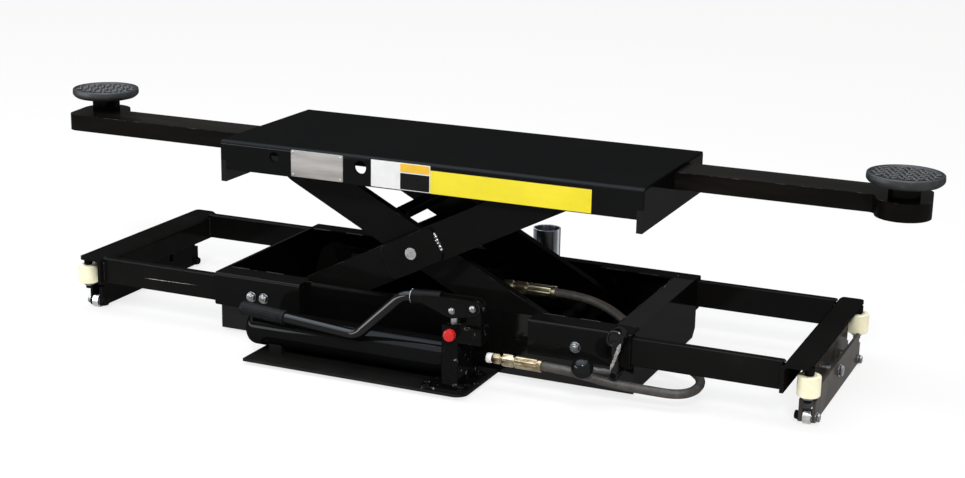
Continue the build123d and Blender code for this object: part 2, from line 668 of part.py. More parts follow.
def lever_pins():
    near = LUG_HALF + CHEEK_GAP + CHEEK
    pins = []
    for x, z in (FULCRUM, PISTON_PIN):
        pin = rod_y(LEVER_PIN_R, x, (LEVER_Y - near, LEVER_Y + near), z)
        for side in BOTH:
            low, high = span(side, near, near + LEVER_HEAD)
            pin += rod_y(LEVER_HEAD_R, x, (LEVER_Y + low, LEVER_Y + high), z)
        pins.append(pin)
    return pins


def pump_piston():
    x, z = PISTON_PIN
    eye = disc(PISTON_PIN, PISTON_EYE_R)
    eye -= Pos(x, z) * SlotCenterToCenter(PISTON_SLOT, 2 * PISTON_SLOT_R)
    piston = prism_y(eye, (LEVER_Y - PISTON_EYE_HALF, LEVER_Y + PISTON_EYE_HALF))
    return piston + rod_z(PISTON_R, x, LEVER_Y, (PISTON_BOTTOM, z - PISTON_SLOT_R - SIDE_GAP))


def handle_path():
    points = [(x, LEVER_Y, z) for x, z in HANDLE_ROUTE]
    return FilletPolyline(*points, radius=HANDLE_BEND)


def handle_tube():
    path = handle_path()
    return sweep(Plane(origin=path @ 0, z_dir=path % 0) * Circle(HANDLE_R), path=path)


def handle_grip():
    path = handle_path()
    line = path % 0
    outer = Plane(origin=path @ 0 - line * GRIP_END, z_dir=line)
    grip = extrude(outer * Circle(GRIP_R), GRIP_LENGTH, dir=line)
    grip = fillet(grip.edges().sort_by(Axis.X)[0], GRIP_END)
    return grip - extrude(Plane(origin=path @ 0, z_dir=line) * Circle(HANDLE_R), GRIP_LENGTH, dir=line)


def release_knob():
    face = HEAD_FRONT - KNOB_GAP
    knob = rod_y(KNOB_R, KNOB_X, (face - KNOB_LENGTH, face), KNOB_Z)
    knob = fillet(knob.edges().sort_by(Axis.Y)[0], KNOB_EDGE)
    return knob + rod_y(NEEDLE_R, KNOB_X, (face, HEAD_FRONT + NEEDLE_DEPTH), KNOB_Z)


def latch_lever():
    """Hub on the cross shaft, and an arm beside the sleeve that deepens towards a boss at its top."""
    front, back = LATCH_BOSS_Y
    hub = rod_y(LATCH_HUB_R, LATCH_X, LATCH_BOSS_Y, LATCH_Z)
    boss = rod_y(LATCH_BOSS_R, LATCH_X, LATCH_BOSS_Y, LATCH_BOSS_Z)
    arm_x = (LATCH_X - LATCH_ARM / 2, LATCH_X + LATCH_ARM / 2)
    foot = Plane.XY.offset(LATCH_Z) * oblong(arm_x, (front, front + LATCH_FOOT))
    head = Plane.XY.offset(LATCH_BOSS_Z) * oblong(arm_x, LATCH_BOSS_Y)
    return hub + loft([foot, head]) + boss - rod_y(LATCH_SHAFT_R, LATCH_X, (front, back), LATCH_Z)


def latch_ball():
    """Ball on a rod that slants out from the arm's foot, clear of the hose."""
    centre = Vector(BALL_X, BALL_Y, BALL_Z)
    line = Vector(LATCH_X, *BALL_ROD_FOOT) - centre
    rod = extrude(Plane(origin=centre, z_dir=line) * Circle(BALL_ROD_R), line.length, dir=line)
    arm_x = (LATCH_X - LATCH_ARM / 2, BASE_HALF)
    return Pos(centre) * Sphere(BALL_R) + rod - block(arm_x, (BALL_Y, -WALL_Y), (FLOOR_TOP, BASE_TOP))


def latch_bar():
    """Lock bar on its cross shaft; the lower roller axle stands between its teeth."""
    taper = oblong((BAR_HEEL - BAR_TOOTH_CREST, BAR_HEEL), (BAR_LOW, BAR_HIGH))
    bar = hull(disc((LATCH_X, LATCH_Z), BAR_HUB_R), taper)
    bar += oblong((BAR_TIP, BAR_HEEL), (BAR_LOW, BAR_HIGH))
    for step in range(BAR_TEETH):
        left = ROLLER_X + LATCH_PITCH * (BAR_FIRST_TOOTH - step) - BAR_TOOTH / 2
        crest = (left + BAR_TOOTH_CREST, BAR_TOOTH_TOP)
        bar += Polygon((left, BAR_HIGH), (left + BAR_TOOTH, BAR_HIGH), crest, (left, BAR_TOOTH_TOP))
    shaft_end = BAR_Y[1] + SIDE_GAP + LATCH_BEARING
    return prism_y(bar, BAR_Y) + rod_y(LATCH_SHAFT_R, LATCH_X, (LATCH_BOSS_Y[0], shaft_end), LATCH_Z)


def leg(angle, y, bores):
    outline = Pos(PIN_X, PIN_Z) * SlotCenterToCenter(LEG_LENGTH, LEG_WIDTH, rotation=angle)
    for place, radius in bores:
        outline -= disc(place, radius + RUN_FIT)
    return prism_y(outline, y)


def outer_legs():
    bores = [((PIVOT_X, PIVOT_Z), SHAFT_R), ((PIN_X, PIN_Z), PIN_R), ((ROLLER_X, UPPER_Z), PIN_R)]
    doubler = RectangleRounded(DOUBLER_LENGTH, DOUBLER_WIDTH, DOUBLER_CORNER, rotation=FOLD)
    doubler = Pos(PIN_X, PIN_Z) * (doubler - Circle(PIN_R + RUN_FIT))
    legs = []
    for side in BOTH:
        bare = leg(FOLD, span(side, OUTER_LEG_Y, OUTER_LEG_FAR), bores)
        legs.append(bare + prism_y(doubler, span(side, OUTER_LEG_FAR, OUTER_LEG_FAR + DOUBLER)))
    return legs


def inner_legs():
    bores = [((PIVOT_X, UPPER_Z), PIN_R), ((PIN_X, PIN_Z), PIN_R), ((ROLLER_X, PIVOT_Z), PIN_R)]
    return [leg(-FOLD, span(side, INNER_LEG_Y, INNER_LEG_FAR), bores) for side in BOTH]


def torque_tube():
    """Tube between the outer legs, with the crank that the cylinder pushes."""
    tube = rod_y(TORQUE_TUBE_R, PIVOT_X, (-OUTER_LEG_Y, OUTER_LEG_Y), PIVOT_Z)
    crank = hull(disc((PIVOT_X, PIVOT_Z), CRANK_ROOT_R), disc((CRANK_X, CRANK_Z), CRANK_EYE_R))
    for side in BOTH:
        tube += prism_y(crank, span(side, CRANK_Y, CRANK_Y + CRANK_PLATE))
    tube += rod_y(CRANK_PIN_R, CRANK_X, (-CRANK_Y - CRANK_PLATE, CRANK_Y + CRANK_PLATE), CRANK_Z)
    return tube - rod_y(TORQUE_BORE_R, PIVOT_X, (-OUTER_LEG_Y, OUTER_LEG_Y), PIVOT_Z)


def leg_pins():
    """Centre pins with spacing collars, and the stub axles of the upper rollers."""
    collar_r = PIN_R + LEG_THICK / 2
    pins = []
    for side in BOTH:
        pin_y = span(side, INNER_LEG_Y - PIN_PROUD, OUTER_LEG_FAR + DOUBLER + PIN_PROUD)
        pin = rod_y(PIN_R, PIN_X, pin_y, PIN_Z)
        pin += rod_y(collar_r, PIN_X, span(side, INNER_LEG_FAR + SIDE_GAP, OUTER_LEG_Y), PIN_Z)
        stub = rod_y(PIN_R, ROLLER_X, span(side, UPPER_TRACK_Y, OUTER_LEG_FAR), UPPER_Z)
        pins += [pin, stub]
    return pins


def scissor_roller(side, near, z):
    y = span(side, near, near + SCISSOR_ROLLER_WIDTH)
    tread = rod_y(SCISSOR_ROLLER_R - ROLL_GAP, ROLLER_X, y, z)
    return tread - rod_y(PIN_R + RUN_FIT, ROLLER_X, y, z)


def inner_cross_tube():
    angle = radians(FOLD)
    x = PIN_X - CROSS_TUBE_ALONG * cos(angle) + CROSS_TUBE_ABOVE * sin(angle)
    z = PIN_Z + CROSS_TUBE_ALONG * sin(angle) + CROSS_TUBE_ABOVE * cos(angle)
    y = (-INNER_LEG_Y, INNER_LEG_Y)
    return rod_y(CROSS_TUBE_R, x, y, z) - rod_y(CROSS_TUBE_R - CROSS_TUBE_WALL, x, y, z)


def lower_roller_axle():
    reach = INNER_LEG_FAR + LOWER_ROLLER_GAP + SCISSOR_ROLLER_WIDTH + PIN_PROUD
    return rod_y(PIN_R, ROLLER_X, (-reach, reach), PIVOT_Z)


def platform_deck():
    """Bent deck with deep front and back flanges, and lugs for the inner legs."""
    x = (-DECK_HALF, DECK_HALF)
    deck = block(x, (-DECK_Y, DECK_Y), (FLANGE_BOTTOM, DECK_TOP))
    deck = fillet(deck.edges().filter_by(Axis.X).group_by(Axis.Z)[-1], DECK_BEND)
    hollow = block(x, (DECK_SHEET - DECK_Y, DECK_Y - DECK_SHEET), (FLANGE_BOTTOM, DECK_UNDER))
    deck -= fillet(hollow.edges().filter_by(Axis.X).group_by(Axis.Z)[-1], DECK_BEND - DECK_SHEET)
    lug = disc((PIVOT_X, UPPER_Z), LUG_R)
    lug += oblong((PIVOT_X - LUG_R, PIVOT_X + LUG_R), (UPPER_Z, DECK_UNDER))
    lug -= disc((PIVOT_X, UPPER_Z), PIN_R + RUN_FIT)
    for side in BOTH:
        end_x = span(side, DECK_HALF - END_BAR, DECK_HALF)
        deck -= block(end_x, (-DECK_Y, DECK_Y), (FLANGE_BOTTOM, END_BAR_TOP))
        deck += prism_y(lug, span(side, LUG_Y, LUG_Y + LUG_THICK))
    for hole_x, radius in FLANGE_HOLES:
        deck -= rod_y(radius, hole_x, (-DECK_Y, DECK_SHEET - DECK_Y), UPPER_Z + FLANGE_HOLE_RISE)
    return deck


def end_bars():
    """End plates of the deck, each open at the top where its arm passes."""
    upper = block((0, END_BAR), (DECK_SHEET - DECK_Y, DECK_Y - DECK_SHEET), (END_BAR_TOP, DECK_UNDER))
    upper = fillet(upper.edges().filter_by(Axis.X).group_by(Axis.Z)[-1], DECK_BEND - DECK_SHEET)
    bars = []
    for side in BOTH:
        low_x, high_x = span(side, DECK_HALF - END_BAR, DECK_HALF)
        bar = block((low_x, high_x), (-DECK_Y, DECK_Y), (END_BAR_TOP - END_BAR_HEIGHT, END_BAR_TOP))
        bar += Pos(low_x) * upper
        gap_y = span(side, ARM_SPLIT - SIDE_GAP, GUIDE_BAR_Y)
        bars.append(bar - block((low_x, high_x), gap_y, (END_BAR_TOP, DECK_UNDER)))
    return bars


def deck_bars():
    """Under the deck: bars that guide the arms, straps that keep them up, and the upper roller tracks."""
    inner_x = (END_BAR - DECK_HALF, DECK_HALF - END_BAR)
    guide_far = GUIDE_BAR_Y + GUIDE_BAR
    bars = []
    for side in BOTH:
        bars.append(block(inner_x, span(side, GUIDE_BAR_Y, guide_far), (END_BAR_TOP, DECK_UNDER)))
    for side in BOTH:
        strap_x = span(side, KEEPER_X - KEEPER_WIDTH / 2, KEEPER_X + KEEPER_WIDTH / 2)
        bars.append(block(strap_x, (-guide_far, guide_far), (END_BAR_TOP - KEEPER, END_BAR_TOP)))
    track_x = (ROLLER_HIGH_X - TRACK_END, ROLLER_LOW_X + TRACK_END)
    for side in BOTH:
        track_y = span(side, UPPER_TRACK_Y, UPPER_TRACK_Y + UPPER_TRACK_WIDTH)
        bars.append(block(track_x, track_y, (UPPER_Z + SCISSOR_ROLLER_R, DECK_UNDER)))
    return bars


def upper_pivot_pins():
    y = (INNER_LEG_Y - PIN_PROUD, LUG_Y + LUG_THICK)
    return [rod_y(PIN_R, PIVOT_X, span(side, *y), UPPER_Z) for side in BOTH]


def sliding_arm(side, pad_x):
    """Flat bar beside the jack's middle plane, with a round head on that plane."""
    inner_end = pad_x - side * ARM_LENGTH
    corner_x = pad_x + side * HEAD_CORNER_OUT
    corner = disc((corner_x, side * (ARM_SIDE - HEAD_CORNER_R)), HEAD_CORNER_R)
    bar_x = tuple(sorted((inner_end, corner_x)))
    outline = oblong(bar_x, span(side, ARM_SPLIT, ARM_SIDE)) + hull(disc((pad_x, 0), HEAD_R), corner)
    arm = prism_z(outline, (ARM_BOTTOM, ARM_TOP))
    notch = Vector(pad_x - side * HEAD_R, side * ARM_SPLIT, ARM_TOP)
    arm = fillet(arm.edges().filter_by(Axis.Z).sort_by_distance(notch)[0], HEAD_FILLET)
    return arm - rod_z(SPIGOT_R + RUN_FIT, pad_x, 0, (ARM_BOTTOM, ARM_TOP))


def pad_stem(pad_x):
    neck = rod_z(NECK_R, pad_x, 0, (ARM_TOP, PAD_BOTTOM))
    return neck + rod_z(SPIGOT_R, pad_x, 0, (ARM_BOTTOM, ARM_TOP))


def pad(pad_x):
    """Rubber disc with a rounded rim and a rib round its waist."""
    top = PAD_BOTTOM + PAD_THICK
    disc_solid = rod_z(PAD_R - PAD_RIB / 2, pad_x, 0, (PAD_BOTTOM, top))
    disc_solid = fillet(disc_solid.edges().sort_by(Axis.Z)[-1], PAD_EDGE)
    middle = (PAD_BOTTOM + top) / 2
    return disc_solid + rod_z(PAD_R, pad_x, 0, (middle - PAD_RIB, middle + PAD_RIB))


def bent(side, near, far, top, radius):
    """A block along the cross beam, rounded along its upper inner edge."""
    shape = block(span(side, near, far), (-BEAM_HALF, BEAM_HALF), (BEAM_WEB_BOTTOM, top))
    edge = shape.edges().filter_by(Axis.Y).sort_by_distance(Vector(side * near, 0, top))[0]
    return fillet(edge, radius)


def frame_weldment(side, reach):
    """Two rails butted to an angle beam."""
    web_x = reach - BEAM_WIDTH
    beam = bent(side, web_x, reach, RAIL_TOP, BEAM_BEND)
    corners = beam.edges().filter_by(Axis.Z).group_by(Axis.X)[0 if side < 0 else -1]
    beam = fillet(corners, BEAM_CORNER)
    beam -= bent(side, web_x + BEAM_SHEET, reach, RAIL_TOP - BEAM_SHEET, BEAM_BEND - BEAM_SHEET)
    rail_x = span(side, web_x - RAIL_LENGTH, web_x)
    for back in BOTH:
        rail = block(rail_x, span(back, RAIL_NEAR, RAIL_FAR), (RAIL_BOTTOM, RAIL_TOP))
        beam += fillet(rail.edges().filter_by(Axis.X), RAIL_EDGE)
    return beam


def plate_outline(half, top):
    """A roller plate, narrower above its shoulder."""
    wide = oblong((-half, half), (PLATE_BOTTOM, PLATE_SHOULDER))
    return wide + oblong((-PLATE_NECK_HALF, PLATE_NECK_HALF), (PLATE_BOTTOM, top))


def plate_faces(reach):
    """Distances of the plates' faces from the middle of the jack."""
    inner_far = reach - INNER_PLATE_BACK
    outer_near = inner_far + PLATE_GAP
    return inner_far - INNER_PLATE, inner_far, outer_near, outer_near + OUTER_PLATE


def roller_plates(side, reach):
    inner_near, inner_far, outer_near, outer_far = plate_faces(reach)
    inner = plate_outline(INNER_PLATE_HALF, RAIL_TOP - BEAM_SHEET)
    outer = plate_outline(OUTER_PLATE_HALF, OUTER_PLATE_TOP)
    for back in BOTH:
        axle_hole = disc((back * STEEL_ROLLER_Y, STEEL_ROLLER_R), AXLE_BOLT_R + RUN_FIT)
        inner -= axle_hole
        outer -= axle_hole
        slot_place = Pos(back * SLOT_Y, (SLOT_LOW + SLOT_HIGH) / 2)
        inner -= slot_place * SlotOverall(SLOT_HIGH - SLOT_LOW, SLOT_WIDTH, rotation=90)
    middle_hole = disc((0, PLATE_BOLT_Z), PLATE_BOLT_R + RUN_FIT)
    inner -= middle_hole
    outer -= middle_hole
    inner_plate = prism_x(inner, span(side, inner_near, inner_far))
    return [inner_plate, prism_x(outer, span(side, outer_near, outer_far))]


def through_bolt(side, radius, across_flats, faces, y, z):
    """A bolt through both roller plates, with its head outside and its nut inside."""
    inner_near, _, _, outer_far = faces
    bolt = rod_x(radius, span(side, inner_near - BOLT_HEAD, outer_far), y, z)
    bolt += hex_x(across_flats, span(side, outer_far, outer_far + BOLT_HEAD), y, z)
    return bolt + hex_x(across_flats, span(side, inner_near - BOLT_HEAD, inner_near), y, z)


def end_bolts(side, reach):
    faces = plate_faces(reach)
    middle = through_bolt(side, PLATE_BOLT_R, PLATE_BOLT_AF, faces, 0, PLATE_BOLT_Z)
    bolts = [middle + rod_x(PLATE_SPACER_R, span(side, faces[1], faces[2]), 0, PLATE_BOLT_Z)]
    guide_x = side * (reach - GUIDE_BACK)
    flange_low = RAIL_TOP - BEAM_SHEET
    for back in BOTH:
        axle_y = back * STEEL_ROLLER_Y
        bolts.append(through_bolt(side, AXLE_BOLT_R, AXLE_BOLT_AF, faces, axle_y, STEEL_ROLLER_R))
        y = back * GUIDE_Y
        stud = rod_z(GUIDE_STUD_R, guide_x, y, (GUIDE_LOW - GUIDE_NUT - PIN_PROUD, flange_low))
        stud += rod_z(GUIDE_SPACER_R, guide_x, y, (GUIDE_HIGH + ROLL_GAP, flange_low))
        nut_top = GUIDE_LOW - ROLL_GAP
        bolts.append(stud + hex_z(GUIDE_NUT_AF, guide_x, y, (nut_top - GUIDE_NUT, nut_top)))
    return bolts


def steel_roller(side, back, reach):
    _, inner_far, outer_near, _ = plate_faces(reach)
    middle = (inner_far + outer_near) / 2
    x = span(side, middle - STEEL_ROLLER_WIDTH / 2, middle + STEEL_ROLLER_WIDTH / 2)
    y = back * STEEL_ROLLER_Y
    return rod_x(STEEL_ROLLER_R, x, y, STEEL_ROLLER_R) - rod_x(AXLE_BOLT_R + RUN_FIT, x, y, STEEL_ROLLER_R)


def guide_roller(side, back, reach):
    x = side * (reach - GUIDE_BACK)
    y = back * GUIDE_Y
    tread = rod_z(GUIDE_R, x, y, (GUIDE_LOW, GUIDE_HIGH))
    tread = chamfer(tread.edges().filter_by(GeomType.CIRCLE), RAIL_EDGE)
    return tread - rod_z(GUIDE_STUD_R + RUN_FIT, x, y, (GUIDE_LOW, GUIDE_HIGH))


os.makedirs("parts", exist_ok=True)

save("base_tray", base_tray())
save("rail_sleeves", *rail_sleeves())
save("lock_bolts", *lock_bolts())
save("roller_tracks", *roller_tracks())
save("lower_pivot_shaft", rod_y(SHAFT_R, PIVOT_X, (TRAY_SHEET - WALL_Y, WALL_Y - TRAY_SHEET), PIVOT_Z))
save("pump_plate", pump_plate())
save("storage_tube", storage_tube())
save("cylinder_bracket", cylinder_bracket())
save("cylinder_barrel", cylinder_barrel())
save("cylinder_gland", cylinder_gland())
save("cylinder_rod", cylinder_rod())
save("cylinder_hose_end", cylinder_hose_end())
save("hose", hose())
save("pump_hose_end", pump_hose_end())
save("thread_seal", rod_x(SEAL_R, SEAL_X, OUTLET_Y, OUTLET_Z))
save("outlet_fitting", rod_x(OUTLET_R, (HEAD_X[1], SEAL_X[0]), OUTLET_Y, OUTLET_Z))
save("reservoir", reservoir())
save("pump_head", pump_head())
save("pump_bolts", *pump_bolts())
save("lever_socket", lever_socket())
save("lever_pins", *lever_pins())
save("handle_tube", handle_tube())
save("handle_grip", handle_grip())
save("pump_piston", pump_piston())
save("release_knob", release_knob())
save("latch_lever", latch_lever())
save("latch_ball", latch_ball())
save("latch_bar", latch_bar())
save("outer_legs", *outer_legs())
save("torque_tube", torque_tube())
save("leg_pins", *leg_pins())
save("inner_legs", *inner_legs())
save("inner_cross_tube", inner_cross_tube())
save("lower_roller_axle", lower_roller_axle())
save("lower_rollers", *[scissor_roller(side, INNER_LEG_FAR + LOWER_ROLLER_GAP, PIVOT_Z) for side in BOTH])
save("upper_rollers", *[scissor_roller(side, UPPER_TRACK_Y + UPPER_ROLLER_INSET, UPPER_Z) for side in BOTH])
save("platform_deck", platform_deck())
save("end_bars", *end_bars())
save("deck_bars", *deck_bars())
save("upper_pivot_pins", *upper_pivot_pins())
for name, end, pad_place in (("left", -1, LEFT_PAD_X), ("right", 1, RIGHT_PAD_X)):
    save(f"{name}_arm", sliding_arm(end, pad_place))
    save(f"{name}_pad_stem", pad_stem(pad_place))
    save(f"{name}_pad", pad(pad_place))
for name, end, beam_reach in (("left", -1, LEFT_REACH), ("right", 1, RIGHT_REACH)):
    save(f"{name}_frame", frame_weldment(end, beam_reach))
    save(f"{name}_roller_plates", *roller_plates(end, beam_reach))
    save(f"{name}_end_bolts", *end_bolts(end, beam_reach))
    for corner_name, back_side in (("front", -1), ("back", 1)):
        save(f"{name}_{corner_name}_roller", steel_roller(end, back_side, beam_reach))
        save(f"{name}_{corner_name}_guide", guide_roller(end, back_side, beam_reach))
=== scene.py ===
from math import cos, pi, radians, sin, sqrt
from random import Random

import bpy
from mathutils import Matrix, Vector


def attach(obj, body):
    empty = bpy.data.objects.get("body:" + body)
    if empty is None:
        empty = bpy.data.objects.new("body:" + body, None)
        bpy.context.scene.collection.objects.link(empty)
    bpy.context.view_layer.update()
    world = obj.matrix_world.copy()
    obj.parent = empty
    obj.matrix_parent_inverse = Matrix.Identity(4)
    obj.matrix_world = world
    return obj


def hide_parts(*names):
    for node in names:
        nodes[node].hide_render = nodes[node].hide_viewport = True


# The rolling bridge jack's looks. Lengths are written in millimetres and scaled to metres by MM.

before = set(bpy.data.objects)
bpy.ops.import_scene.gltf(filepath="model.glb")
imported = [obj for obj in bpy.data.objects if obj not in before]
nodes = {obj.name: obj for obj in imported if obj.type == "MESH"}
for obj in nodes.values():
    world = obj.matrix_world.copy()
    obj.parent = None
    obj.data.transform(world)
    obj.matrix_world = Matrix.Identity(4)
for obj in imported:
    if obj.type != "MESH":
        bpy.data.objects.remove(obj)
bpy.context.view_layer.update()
scene = bpy.context.scene
scene.view_settings.view_transform = "Standard"

MM = 0.001
X = Vector((1, 0, 0))
Y = Vector((0, 1, 0))
Z = Vector((0, 0, 1))
BOTH = (-1, 1)


def at(x, y, z):
    """A place in metres from millimetres."""
    return Vector((x, y, z)) * MM


# Camera at the photograph's angle, for a 965 x 478 frame

CAMERA_PLACE = at(1188.8, -2625.5, 959.9)
CAMERA_HEADING = radians(23.586)
CAMERA_PITCH = radians(15.276)
CAMERA_ROLL = radians(1.041)

camera_data = bpy.data.cameras.new("camera")
camera_data.sensor_fit = "HORIZONTAL"
camera_data.sensor_width = 36.0
camera_data.lens = 64.94
camera = bpy.data.objects.new("camera", camera_data)
scene.collection.objects.link(camera)
turn = Matrix.Rotation(CAMERA_HEADING, 4, "Z") @ Matrix.Rotation(pi / 2 - CAMERA_PITCH, 4, "X")
camera.matrix_world = Matrix.Translation(CAMERA_PLACE) @ turn @ Matrix.Rotation(CAMERA_ROLL, 4, "Z")
scene.camera = camera


# Material nodes

def add(tree, kind, settings=None, **inputs):
    """A node; each input is a value, or another node's output to join."""
    made = tree.nodes.new(kind)
    for key, value in (settings or {}).items():
        setattr(made, key, value)
    for key, value in inputs.items():
        socket = made.inputs[key.replace("_", " ")]
        if isinstance(value, bpy.types.NodeSocket):
            tree.links.new(value, socket)
        else:
            socket.default_value = value
    return made


def ramp(tree, factor, tones):
    """Colours along a factor, as (position, colour) pairs."""
    made = add(tree, "ShaderNodeValToRGB", Fac=factor)
    steps = made.color_ramp.elements
    while len(steps) < len(tones):
        steps.new(1.0)
    for step, (position, colour) in zip(steps, tones):
        step.position = position
        step.color = (*colour, 1.0)
    return made.outputs["Color"]


def spread(tree, factor, low, high):
    """A factor of 0 to 1 stretched from low to high."""
    made = add(tree, "ShaderNodeMapRange", Value=factor, To_Min=low, To_Max=high)
    return made.outputs["Result"]


def noise(tree, place, scale, stretch=(1, 1, 1), detail=5.0):
    """A cloudy factor over places."""
    moved = add(tree, "ShaderNodeMapping", Vector=place, Scale=stretch)
    made = add(tree, "ShaderNodeTexNoise", Vector=moved.outputs["Vector"], Scale=scale, Detail=detail,
               Roughness=0.6)
    return made.outputs["Fac"]


def edge_mask(tree, soft, place, scale):
    """Where the softened normal leaves the true one, broken up by a noise: lighter edges, partly wear and
    partly painted highlight.
    """
    true = add(tree, "ShaderNodeNewGeometry").outputs["Normal"]
    dot = tree.nodes.new("ShaderNodeVectorMath")
    dot.operation = "DOT_PRODUCT"
    tree.links.new(soft, dot.inputs[0])
    tree.links.new(true, dot.inputs[1])
    bare = add(tree, "ShaderNodeMapRange", Value=dot.outputs["Value"], From_Min=0.97, From_Max=0.80)
    patches = add(tree, "ShaderNodeMapRange", Value=noise(tree, place, scale), From_Min=0.50, From_Max=0.62)
    both = tree.nodes.new("ShaderNodeMath")
    both.operation = "MULTIPLY"
    tree.links.new(bare.outputs["Result"], both.inputs[0])
    tree.links.new(patches.outputs["Result"], both.inputs[1])
    return both.outputs["Value"]


def finish(name, tones, rough, grain=8.0, stretch=(1, 1, 1), relief=(), edge=0.0, edge_wear_and_highlight=None, **constants):
    """A procedural finish: tones and a roughness range along a grain, fine relief and softened edges.

    relief is a row of (scale, strength, depth); the lighter patches along edges are given as (colour,
    scale): partly edge wear, partly painted edge highlight.
    """
    made = bpy.data.materials.new(name)
    made.use_nodes = True
    tree = made.node_tree
    shader = tree.nodes["Principled BSDF"]
    place = add(tree, "ShaderNodeTexCoord").outputs["Object"]
    clouds = noise(tree, place, grain, stretch)
    colour = ramp(tree, clouds, tones)
    normal = None
    if edge:
        normal = add(tree, "ShaderNodeBevel", {"samples": 4}, Radius=edge * MM).outputs["Normal"]
    # Lighter colour along edges: partly edge wear, partly a painted edge highlight.
    if edge_wear_and_highlight:
        mask = edge_mask(tree, normal, place, edge_wear_and_highlight[1])
        mixed = add(tree, "ShaderNodeMixRGB", Fac=mask, Color1=colour, Color2=(*edge_wear_and_highlight[0], 1.0))
        colour = mixed.outputs["Color"]
    for scale, strength, depth in relief:
        height = noise(tree, place, scale, stretch, detail=2.0)
        bump = add(tree, "ShaderNodeBump", Height=height, Strength=strength, Distance=depth * MM)
        if normal:
            tree.links.new(normal, bump.inputs["Normal"])
        normal = bump.outputs["Normal"]
    tree.links.new(colour, shader.inputs["Base Color"])
    tree.links.new(spread(tree, clouds, *rough), shader.inputs["Roughness"])
    if normal:
        tree.links.new(normal, shader.inputs["Normal"])
    for key, value in constants.items():
        shader.inputs[key.replace("_", " ")].default_value = value
    return made


def grey(level, warm=0.0):
    """A linear grey, warmed or cooled a little."""
    return (level * (1 + warm), level, level * (1 - warm))


# A thin coat of high index gives paint a low gloss that hardly changes with the angle

PAINT = {"Specular_IOR_Level": 0.0, "Coat_IOR": 4.0}
ORANGE_PEEL = ((260.0, 0.10, 0.25),)

black_paint = finish(
    "black_paint", ((0.30, grey(0.0042)), (0.62, grey(0.0056, 0.04)), (0.80, grey(0.0110, 0.08))),
    rough=(0.22, 0.42), grain=7.0, relief=ORANGE_PEEL, edge=1.6, edge_wear_and_highlight=(grey(0.07, 0.05), 45.0),
    Coat_Weight=0.007, Coat_Roughness=0.09, **PAINT)
tray_paint = finish(
    "tray_paint", ((0.30, grey(0.0022)), (0.62, grey(0.0030, 0.04)), (0.80, grey(0.0070, 0.08))),
    rough=(0.22, 0.42), grain=6.0, relief=ORANGE_PEEL, edge=1.8, Coat_Weight=0.040, Coat_Roughness=0.10,
    **PAINT)
sleeve_paint = finish(
    "sleeve_paint", ((0.30, grey(0.0040)), (0.62, grey(0.0054, 0.03)), (0.80, grey(0.0100, 0.06))),
    rough=(0.18, 0.34), grain=8.0, relief=ORANGE_PEEL, edge=2.4, Coat_Weight=0.009, Coat_Roughness=0.06,
    **PAINT)
# A darker, duller paint on the parts inside the tray, the cylinder's rod and gland among them: painted
# shade for the dark inside of the tray.
shaded_inner_paint = finish(
    "shaded_inner_paint", ((0.30, grey(0.0024)), (0.62, grey(0.0034, 0.04)), (0.80, grey(0.0060, 0.08))),
    rough=(0.40, 0.62), grain=11.0, relief=ORANGE_PEEL, edge=1.0, Coat_Weight=0.003, Coat_Roughness=0.25,
    **PAINT)
deck_paint = finish(
    "deck_paint", ((0.30, grey(0.0038, -0.06)), (0.64, grey(0.0048, -0.04)), (0.82, grey(0.0080, 0.0))),
    rough=(0.26, 0.42), grain=5.0, relief=ORANGE_PEEL, edge=5.0, Coat_Weight=0.011, Coat_Roughness=0.10,
    **PAINT)
arm_paint = finish(
    "arm_paint", ((0.30, grey(0.0026, 0.10)), (0.52, grey(0.0040, 0.16)), (0.78, grey(0.0100, 0.24))),
    rough=(0.34, 0.55), grain=6.0, stretch=(0.5, 3.0, 3.0), relief=((420.0, 0.12, 0.2),), edge=1.4,
    edge_wear_and_highlight=(grey(0.12, 0.06), 55.0), Specular_IOR_Level=0.0, Coat_Weight=0.055, Coat_Roughness=0.25,
    Coat_Tint=(1.0, 0.92, 0.82, 1.0))
frame_paint = finish(
    "frame_paint", ((0.30, grey(0.0040, 0.03)), (0.60, grey(0.0054, 0.06)), (0.80, grey(0.0100, 0.10))),
    rough=(0.26, 0.46), grain=9.0, relief=ORANGE_PEEL, edge=1.8, edge_wear_and_highlight=(grey(0.04, 0.05), 90.0),
    Coat_Weight=0.009, Coat_Roughness=0.12, **PAINT)
# A lighter copy of the frame paint for the right roller plates: painted light, for how brightly those
# plates are lit.
lit_plate_paint = finish(
    "lit_plate_paint", ((0.28, grey(0.030, 0.10)), (0.55, grey(0.052, 0.14)), (0.80, grey(0.085, 0.14))),
    rough=(0.32, 0.55), grain=14.0, relief=((380.0, 0.15, 0.2),), edge=1.2, Specular_IOR_Level=0.0,
    Coat_Weight=0.20, Coat_Roughness=0.20)
sole_paint = finish(
    "sole_paint", ((0.30, grey(0.0070)), (0.62, grey(0.0110, 0.04)), (0.84, grey(0.0220, 0.06))),
    rough=(0.20, 0.40), grain=11.0, relief=ORANGE_PEEL, edge=2.0, Coat_Weight=0.020, Coat_Roughness=0.08,
    **PAINT)
